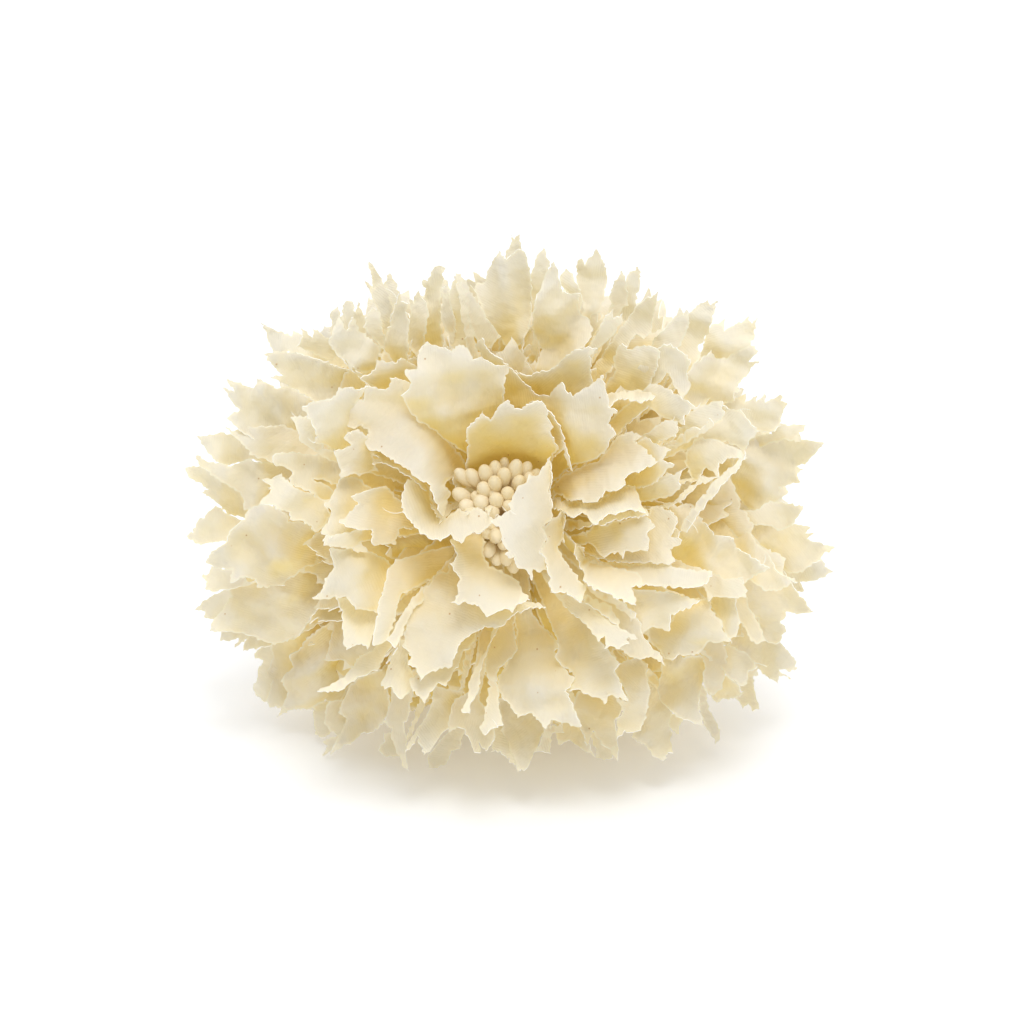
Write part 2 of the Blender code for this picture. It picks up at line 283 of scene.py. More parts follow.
def stamen(head, share, angle, size, rng):
    """A stalk that fans out of the foot to its head, and swells there into a drop-shaped bead."""
    off = share * STALK_CIRCLE
    root = from_core(math.sin(angle) * off, math.cos(angle) * off, STALK_ROOT)
    length = np.linalg.norm(head - root)
    bead = HEAD_LENGTH * size / length
    curve = np.linspace(0, math.pi / 2, 9)
    stations = np.concatenate((
        np.linspace(0, 1 - bead, 7),
        np.linspace(1 - bead, 1 - HEAD_TIP * bead, 10)[1:],
        1 - HEAD_TIP * bead * (1 - np.sin(curve[1:])),
    ))
    middle = (root + head) / 2
    inward = CORE + OUT * ((middle - CORE) @ OUT) - middle
    middle = middle + STALK_BEND * inward + OUT * STALK_ARCH * share
    middle = middle + np.array([rng.uniform(-0.5, 0.5) * MM for _ in range(3)])
    path = [(1 - s) ** 2 * root + 2 * s * (1 - s) * middle + s**2 * head for s in stations]
    left = (1 - stations) / bead
    body = np.cos(math.pi / 2 * np.clip((left - HEAD_TIP) / (1 - HEAD_TIP), 0, 1)) ** 0.85
    tip = np.sqrt(np.clip(1 - (np.clip(1 - left / HEAD_TIP, 0, 1)) ** 2, 0, 1))
    radii = np.where(left < HEAD_TIP, tip, body) * HEAD_RADIUS * size
    radii = np.where(left < HEAD_TIP, np.maximum(radii, 0.02 * MM), np.maximum(radii, STALK_RADIUS))
    return swept(path, radii, STAMEN_SIDES)


def stamen_bunch():
    rng = random.Random(61)
    heads = []
    for right, up, out, size in SEEN_HEADS:
        heads.append((from_core(right * HEADS_APART * MM, up * HEADS_APART * MM, out * MM), size))
    # The others are spread evenly over the bunch, each where its head has room
    for i in range(STAMEN_PLACES):
        share = math.sqrt((i + 0.5) / STAMEN_PLACES)
        angle = i * GOLDEN_ANGLE
        spread = share * STAMEN_SPREAD
        out = STAMEN_REACH - 2.6 * MM * share**3 + rng.uniform(-1.2, 0.2) * MM
        head = from_core(math.sin(angle) * spread, math.cos(angle) * spread, out)
        if min(np.linalg.norm(head - other) for other, _ in heads) > 1.9 * HEAD_RADIUS:
            heads.append((head, rng.uniform(0.95, 1.05)))
    rods = []
    for head, size in heads:
        off = head - CORE
        side, rise = off @ RIGHT, off @ UP
        share = min(1, math.hypot(side, rise) / STAMEN_SPREAD)
        rods.append(stamen(head, share, math.atan2(side, rise), size, rng))
    nought = np.zeros(FOOT_STATIONS)
    heights = np.linspace(FOOT_BOTTOM, FOOT_TOP, FOOT_STATIONS)
    turns = np.arange(FOOT_SIDES) / FOOT_SIDES
    wrap = FOOT_RADIUS - FOOT_GROOVE * np.abs(2 * ((heights[:, None] / FOOT_TURN + turns) % 1) - 1)
    wrap[[0, -1]] *= FOOT_END
    rods.append(swept(from_core(nought, nought, heights), wrap, FOOT_SIDES))
    points, faces = joined(rods)
    piece = smooth_piece("stamens", points, faces, bead_finish())
    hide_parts("stamen_bunch")


stamen_bunch()

# The inner petals
# Broad, rounded petals of stiffened cream cloth, pinked with a shallow zigzag, each shaped by hand over a
# ball tool and glued at its claw round the foot of the stamens. Some stand up behind the bunch and one leans
# over it.
CLOTH = 0.18 * MM
CLAW = 3.0 * MM
CLAW_ROOT = 9.9 * MM
MARGIN_STEP = 0.4 * MM
SHEET_STEP = 1.2 * MM
ROW_STEP = 0.87
CLOTH_SHARP = math.radians(60)
# How far in from the margin a lip is turned and how far teeth are drawn out (both in mm), the short side of a
# ruled tooth as a share of it, and how far a cut margin wanders and frays
LIP = 3.5
TOOTH_DRAW = 0.45
TOOTH_BACK = 0.16
WANDER = 0.18 * MM
FRAY = 0.08 * MM
# The swells of the inner and the measured petals, and of those laid by rule: how far apart they are in mm,
# and how high as shares of the petal's dimple
HAND_SWELLS = ((15, 0.8), (11, 0.8), (8, 0.65), (6, 0.45), (4, 0.24), (2.5, 0.09))
RULED_SWELLS = ((17, 0.55), (13, 0.45), (10, 0.3), (7, 0.16), (4.5, 0.08), (3, 0.04))
# The cloth's colours, with the painted shade of its folds and the painted light of its open places, and its
# relief
CREAM = (0.965, 0.923, 0.785)
PAINTED_OPEN_LIGHT = (0.957, 0.941, 0.895)
PAINTED_FOLD_SHADE = (0.98, 0.845, 0.33)
CUT_FIBRES_AND_HIGHLIGHT = (0.985, 0.96, 0.88)
GLOW = (1.0, 0.94, 0.66)
FLECK = (0.62, 0.42, 0.18)
LOT_SPREAD = 0.12
RIB = 0.42 * MM
RIBBED = 0.22
CRUMPLED = 0.9
MARGIN_BAND = 0.4 * MM
# How much light passes through; the faint painted glow of all the cloth, which stands in for light that goes
# round among the folds; and the brighter painted highlight glow at its cut margin
LET_THROUGH = 0.36
PAINTED_GLOW = 0.06
PAINTED_EDGE_HIGHLIGHT = 0.1
# The shares of open air at which the cloth is painted its deepest shade, its middle colour and its palest
# light
FOLD_AIR = 0.12
PETAL_AIR = 0.5
TIP_AIR = 0.78

# One petal: its points, its triangles, where its points lay in the flat cloth, how far each of them is from
# the margin, and how pale the lot of cloth is that it was cut from (0 to 1)
Petal = namedtuple("Petal", "points faces flat from_edge lot")


def ease(values, low, high):
    """0 below low, 1 above high, and a smooth rise between them."""
    share = np.clip((values - low) / (high - low), 0, 1)
    return share * share * (3 - 2 * share)


def colour_mix(finish, blend, **sockets):
    """A node that mixes colour B over colour A, with its sockets set by name."""
    mix = add_node(finish, "ShaderNodeMix")
    mix.data_type = "RGBA"
    mix.blend_type = blend
    for socket, value in sockets.items():
        mix.inputs[socket].default_value = value
    return mix


def cloth_colour(finish, place, measured):
    """Straw yellow painted in the folds and pale in the open and on upward faces, as painted shade and light;
    palest at the margin, from paler cut fibres and a painted highlight; a little cloudy and flecked.
    """
    link = finish.node_tree.links.new
    # Painted shade: the less open air round a point and the more it faces down, the deeper its painted straw
    # yellow; open places and upward faces are painted pale.
    airy = add_node(finish, "ShaderNodeMath")
    airy.operation = "MULTIPLY_ADD"
    airy.inputs[1].default_value = LOT_SPREAD
    link(measured["lot"].outputs["Fac"], airy.inputs[0])
    link(measured["painted_shade_air"].outputs["Fac"], airy.inputs[2])
    painted_shade_ramp = add_node(finish, "ShaderNodeValToRGB")
    painted_shade_ramp.color_ramp.elements[0].position = FOLD_AIR
    painted_shade_ramp.color_ramp.elements[0].color = (*PAINTED_FOLD_SHADE, 1)
    painted_shade_ramp.color_ramp.elements[1].position = TIP_AIR
    painted_shade_ramp.color_ramp.elements[1].color = (*PAINTED_OPEN_LIGHT, 1)
    painted_shade_ramp.color_ramp.elements.new(PETAL_AIR).color = (*CREAM, 1)
    link(airy.outputs["Value"], painted_shade_ramp.inputs["Fac"])
    cloud = add_node(finish, "ShaderNodeTexNoise", Scale=90, Detail=1)
    cloud_range = add_node(finish, "ShaderNodeMapRange", From_Min=0.3, From_Max=0.7,
                           To_Min=0.95, To_Max=1.02)
    shade = colour_mix(finish, "MULTIPLY", Factor=1)
    link(place, cloud.inputs["Vector"])
    link(cloud.outputs["Fac"], cloud_range.inputs["Value"])
    link(painted_shade_ramp.outputs["Color"], shade.inputs["A"])
    link(cloud_range.outputs["Result"], shade.inputs["B"])
    fleck = add_node(finish, "ShaderNodeTexVoronoi", Scale=260, Randomness=1)
    fleck_size = add_node(finish, "ShaderNodeMapRange", From_Min=0.03, From_Max=0.055,
                          To_Min=0.7, To_Max=0)
    flecked = colour_mix(finish, "MIX", B=(*FLECK, 1))
    link(place, fleck.inputs["Vector"])
    link(fleck.outputs["Distance"], fleck_size.inputs["Value"])
    link(fleck_size.outputs["Result"], flecked.inputs["Factor"])
    link(shade.outputs["Result"], flecked.inputs["A"])
    # Along the cut margin the colour turns paler: partly the cut fibres' own paleness, partly a painted
    # highlight.
    inwards = add_node(finish, "ShaderNodeMapRange", From_Min=FRAY, From_Max=MARGIN_BAND, To_Min=0.25)
    margin = colour_mix(finish, "MIX", A=(*CUT_FIBRES_AND_HIGHLIGHT, 1))
    link(measured["from_edge"].outputs["Fac"], inwards.inputs["Value"])
    link(inwards.outputs["Result"], margin.inputs["Factor"])
    link(flecked.outputs["Result"], margin.inputs["B"])
    return margin.outputs["Result"]


def cloth_relief(finish, place):
    """Crumples left by the fingers that shaped the petal, and the cloth's own fine ribs over them."""
    link = finish.node_tree.links.new
    crumple = add_node(finish, "ShaderNodeTexNoise", Scale=450, Detail=1)
    creased = add_node(finish, "ShaderNodeBump", Strength=CRUMPLED, Distance=0.6 * MM)
    link(place, crumple.inputs["Vector"])
    link(crumple.outputs["Fac"], creased.inputs["Height"])
    ribs = add_node(finish, "ShaderNodeTexWave", Scale=math.tau / (20 * RIB), Distortion=3, Detail=1,
                    Detail_Scale=1.5)
    ribbed = add_node(finish, "ShaderNodeBump", Strength=RIBBED, Distance=0.1 * MM)
    link(place, ribs.inputs["Vector"])
    link(ribs.outputs["Fac"], ribbed.inputs["Height"])
    link(creased.outputs["Normal"], ribbed.inputs["Normal"])
    return ribbed.outputs["Normal"]


def cloth_finish(name):
    """Stiffened matt cloth that lets some light through, which comes out warmer than it went in."""
    finish, shader = bare_finish(name, 0.88)
    link = finish.node_tree.links.new
    shader.inputs["Specular IOR Level"].default_value = 0.25
    cut = add_node(finish, "ShaderNodeUVMap")
    cut.uv_map = "cut"
    place = cut.outputs["UV"]
    measured = {}
    for attribute in ("painted_shade_air", "from_edge", "lot"):
        measured[attribute] = add_node(finish, "ShaderNodeAttribute")
        measured[attribute].attribute_name = attribute
    colour = cloth_colour(finish, place, measured)
    relief = cloth_relief(finish, place)
    link(colour, shader.inputs["Base Color"])
    link(relief, shader.inputs["Normal"])
    warmed = colour_mix(finish, "MULTIPLY", Factor=1, B=(*GLOW, 1))
    through = add_node(finish, "ShaderNodeBsdfTranslucent")
    link(colour, warmed.inputs["A"])
    link(warmed.outputs["Result"], through.inputs["Color"])
    link(relief, through.inputs["Normal"])
    # Painted glow: the cloth glows faintly in its own colour, standing in for light that goes round among the
    # folds, and more brightly at the margin as a painted highlight on the rims.
    painted_glow_strength = add_node(finish, "ShaderNodeMapRange", From_Max=MARGIN_BAND,
                        To_Min=PAINTED_EDGE_HIGHLIGHT, To_Max=PAINTED_GLOW)
    link(measured["from_edge"].outputs["Fac"], painted_glow_strength.inputs["Value"])
    link(colour, shader.inputs["Emission Color"])
    link(painted_glow_strength.outputs["Result"], shader.inputs["Emission Strength"])
    both = add_node(finish, "ShaderNodeMixShader")
    both.inputs[0].default_value = LET_THROUGH
    link(shader.outputs["BSDF"], both.inputs[1])
    link(through.outputs["BSDF"], both.inputs[2])
    link(both.outputs["Shader"], finish.node_tree.nodes["Material Output"].inputs["Surface"])
    return finish


def edge_finish():
    """The cut edge of the cloth, where the fibres stand open and look almost white, with a painted highlight
    glow.
    """
    finish, shader = bare_finish("cut_edge", 0.95)
    link = finish.node_tree.links.new
    place = add_node(finish, "ShaderNodeTexCoord")
    fibres = add_node(finish, "ShaderNodeTexNoise", Scale=3000, Detail=2)
    ramp = add_node(finish, "ShaderNodeValToRGB")
    ramp.color_ramp.elements[0].color = (*CREAM, 1)
    ramp.color_ramp.elements[1].position = 0.5
    ramp.color_ramp.elements[1].color = (*CUT_FIBRES_AND_HIGHLIGHT, 1)
    link(place.outputs["Object"], fibres.inputs["Vector"])
    link(fibres.outputs["Fac"], ramp.inputs["Fac"])
    link(ramp.outputs["Color"], shader.inputs["Base Color"])
    # Painted highlight: the cut edge glows faintly in its own colour.
    link(ramp.outputs["Color"], shader.inputs["Emission Color"])
    shader.inputs["Emission Strength"].default_value = PAINTED_EDGE_HIGHLIGHT
    return finish


def half_width(share, cut):
    """Half the width of a flat petal at shares of its length, before its teeth are cut."""
    widening = np.sin(np.pi / 2 * np.clip(share / cut["belly"], 0, 1) ** 1.25)
    ending = 1 - np.clip((share - cut["belly"]) / (1 - cut["belly"]), 0, 1) ** cut["blunt"]
    return cut["width"] / 2 * widening * ending


def pinked_outline(cut, rng):
    """(across, along) points round a flat petal, from its claw's left corner over the apex to the right."""
    t = np.linspace(0, 1, 160)
    half = np.maximum(half_width(t, cut), CLAW / 2 * (1 - 0.5 * t) * (t < 0.5))
    along = t * cut["length"]
    line = np.vstack((np.column_stack((-half, along)), np.column_stack((half, along))[-2::-1]))
    run = np.concatenate(([0], np.cumsum(np.linalg.norm(np.diff(line, axis=0), axis=1))))
    at = np.linspace(0, run[-1], int(run[-1] / MARGIN_STEP))
    places = np.column_stack((np.interp(at, run, line[:, 0]), np.interp(at, run, line[:, 1])))
    tangent = unit(np.gradient(places, axis=0))
    from_apex = at - run[len(t) - 1]
    raised = np.zeros(len(at))
    deep = np.zeros(len(at))
    for side in (-1, 1):
        start = 0.0
        while start < run[-1] / 2 * 1.2:
            pitch = cut["pitch"] * rng.uniform(0.5, 1.5)
            steep = TOOTH_BACK if start > 0 else 0.0
            share = (side * from_apex - start) / pitch
            here = (share >= 0) & (share < 1)
            falling = np.clip((1 - share) / (1 - steep), 0, 1) ** 1.25
            raised[here] = np.where(share < steep, share / max(steep, 0.01), falling)[here]
            deep[here] = cut["depth"] * rng.uniform(0.4, 1.3) * (pitch / cut["pitch"]) ** 0.5
            start += pitch
    deep *= ease(places[:, 1] / cut["length"], cut["smooth"] - 0.12, cut["smooth"] + 0.12)
    wander = np.convolve([rng.gauss(0, 1) for _ in range(len(at) + 6)], np.full(7, 1 / 7), "valid")
    fray = WANDER * wander + np.array([rng.gauss(0, FRAY) for _ in at])
    fray *= ease(places[:, 1] / cut["length"], 0.15, 0.3)
    outward = np.column_stack((-tangent[:, 1], tangent[:, 0]))
    towards_apex = -np.sign(from_apex)[:, None] * tangent
    shifted = places + outward * (deep * (raised - 0.45) + fray)[:, None]
    return shifted + towards_apex * (cut["lean"] * deep * raised**2)[:, None]


def flat_petal(cut, rng):
    """A flat petal's points, triangles and distances from its pinked margin, where the points are closest."""
    outline = pinked_outline(cut, rng)
    length = cut["length"]
    inside = []
    row = 0
    along = 1.0 * MM
    while along < length - cut["depth"]:
        step = SHEET_STEP * (1.7 if along < 0.3 * length else 1)
        half = float(half_width(along / length, cut)) - cut["depth"] - 0.5 * step
        across = -half + (half % step) - (step / 2 if row % 2 else 0)
        while across < half:
            if across > -half:
                off = rng.uniform(-0.15, 0.15) * step
                inside.append((across + off, along + rng.uniform(-0.15, 0.15) * step))
            across += step
        along += step * ROW_STEP
        row += 1
    flat = [Vector(point) for point in outline.tolist() + inside]
    points, _, faces, *_ = geometry.delaunay_2d_cdt(flat, [], [list(range(len(outline)))], 1, 1e-8)
    points = np.array([tuple(point) for point in points])
    return points, faces, np.linalg.norm(points[:, None] - outline[None], axis=2).min(axis=1)


def worked(flat, cut, look, rng):
    """Height of each point of a flat petal off its plane, once ruffled, fluted, creased and cupped."""
    across, along = flat[:, 0], flat[:, 1]
    length, width = cut["length"], cut["width"]
    t = np.clip(along / length, 0.001, 0.999)
    from_side = np.clip(half_width(t, cut) + 0.5 * MM - np.abs(across), 0, None)
    from_edge = np.minimum(from_side, length - along)
    edge = np.clip(1 - from_edge / (0.35 * width), 0, 1) * ease(t, 0.1, 0.6)
    round_it = np.arctan2(across, along - 0.45 * length)
    rise = look["ruffle"] * edge**2 * np.sin(rng.randint(4, 7) * round_it + rng.uniform(0, math.tau))
    rise += 0.3 * look["ruffle"] * edge * np.sin(rng.randint(9, 13) * round_it + rng.uniform(0, math.tau))
    wave = width / rng.uniform(1.2, 2.2)
    phase = math.tau * (across + 0.1 * along) / wave
    rise += look["flute"] * t**0.6 * np.sin(phase + rng.uniform(0, math.tau))
    rise += look["cup"] * across**2 / width
    for _ in range(look["creases"]):
        angle = rng.uniform(-0.6, 0.6)
        offset = (across - rng.uniform(-0.3, 0.3) * width) * math.cos(angle)
        offset += (along - rng.uniform(0.4, 0.8) * length) * math.sin(angle)
        fold = rng.choice((-1, 1)) * rng.uniform(0.12, look["fold"])
        rise += fold * (np.hypot(offset, 1.0 * MM) + offset) / 2 * ease(t, 0.1, 0.5)
    for size, height in RULED_SWELLS:
        angle = rng.uniform(0, math.pi)
        phase = (across * math.cos(angle) + along * math.sin(angle)) / (size * MM) * math.tau
        rise += look["dimple"] * height * ease(t, 0, 0.6) * np.sin(phase + rng.uniform(0, math.tau))
    return rise


def laid(flat, rise, spine, sides):
    """A worked petal on its spine: sides gives the way across at each station."""
    stations = np.linspace(0, 1, len(spine))
    heading = unit(np.gradient(spine, axis=0))
    sides = unit(sides - heading * (sides * heading).sum(axis=1, keepdims=True))
    faces_way = unit(np.cross(heading, sides))
    t = flat[:, 1] / flat[:, 1].max()
    middle, side, face = (
        np.column_stack([np.interp(t, stations, rows[:, i]) for i in range(3)])
        for rows in (spine, sides, faces_way)
    )
    return middle + side * flat[:, :1] + face * rise[:, None]


def as_cut(petal, number):
    """Where a petal's points lay in the cloth: each petal was cut at its own slant, which turns its ribs."""
    slant = np.array(((math.cos(number), math.sin(number)), (-math.sin(number), math.cos(number))))
    return petal.flat @ slant + (0.1 * number, 0.0)


def cloth_piece(name, petals, finishes):
    """One thickened object of petals, with the finish of the cloth and the finish of its cut edge."""
    points, faces = joined([(petal.points, petal.faces) for petal in petals])
    mesh = bpy.data.meshes.new(name)
    mesh.from_pydata(points.tolist(), [], faces)
    flat = np.vstack([as_cut(petal, i) for i, petal in enumerate(petals)])
    corners = np.empty(len(mesh.loops), dtype=np.int32)
    mesh.loops.foreach_get("vertex_index", corners)
    mesh.uv_layers.new(name="cut").data.foreach_set("uv", flat[corners].ravel())
    edges = np.concatenate([petal.from_edge for petal in petals])
    lots = np.concatenate([np.full(len(petal.points), petal.lot) for petal in petals])
    for attribute, values in (("from_edge", edges), ("lot", lots)):
        mesh.attributes.new(attribute, "FLOAT", "POINT").data.foreach_set("value", values)
    for finish in finishes:
        mesh.materials.append(finish)
    sheet = bpy.data.objects.new(name + "_sheet", mesh)
    bpy.context.scene.collection.objects.link(sheet)
    thick = sheet.modifiers.new("cloth", "SOLIDIFY")
    thick.thickness = CLOTH
    thick.offset = 0
    thick.material_offset_rim = 1
    graph = bpy.context.evaluated_depsgraph_get()
    solid = bpy.data.meshes.new_from_object(sheet.evaluated_get(graph))
    bpy.data.objects.remove(sheet)
    solid.name = name
    solid.shade_smooth()
    solid.set_sharp_from_angle(angle=CLOTH_SHARP)
    piece = bpy.data.objects.new(name, solid)
    bpy.context.scene.collection.objects.link(piece)
    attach(piece, "root")
    return piece


cut_edge = edge_finish()
inner_cloth = cloth_finish("inner_petal_cloth")

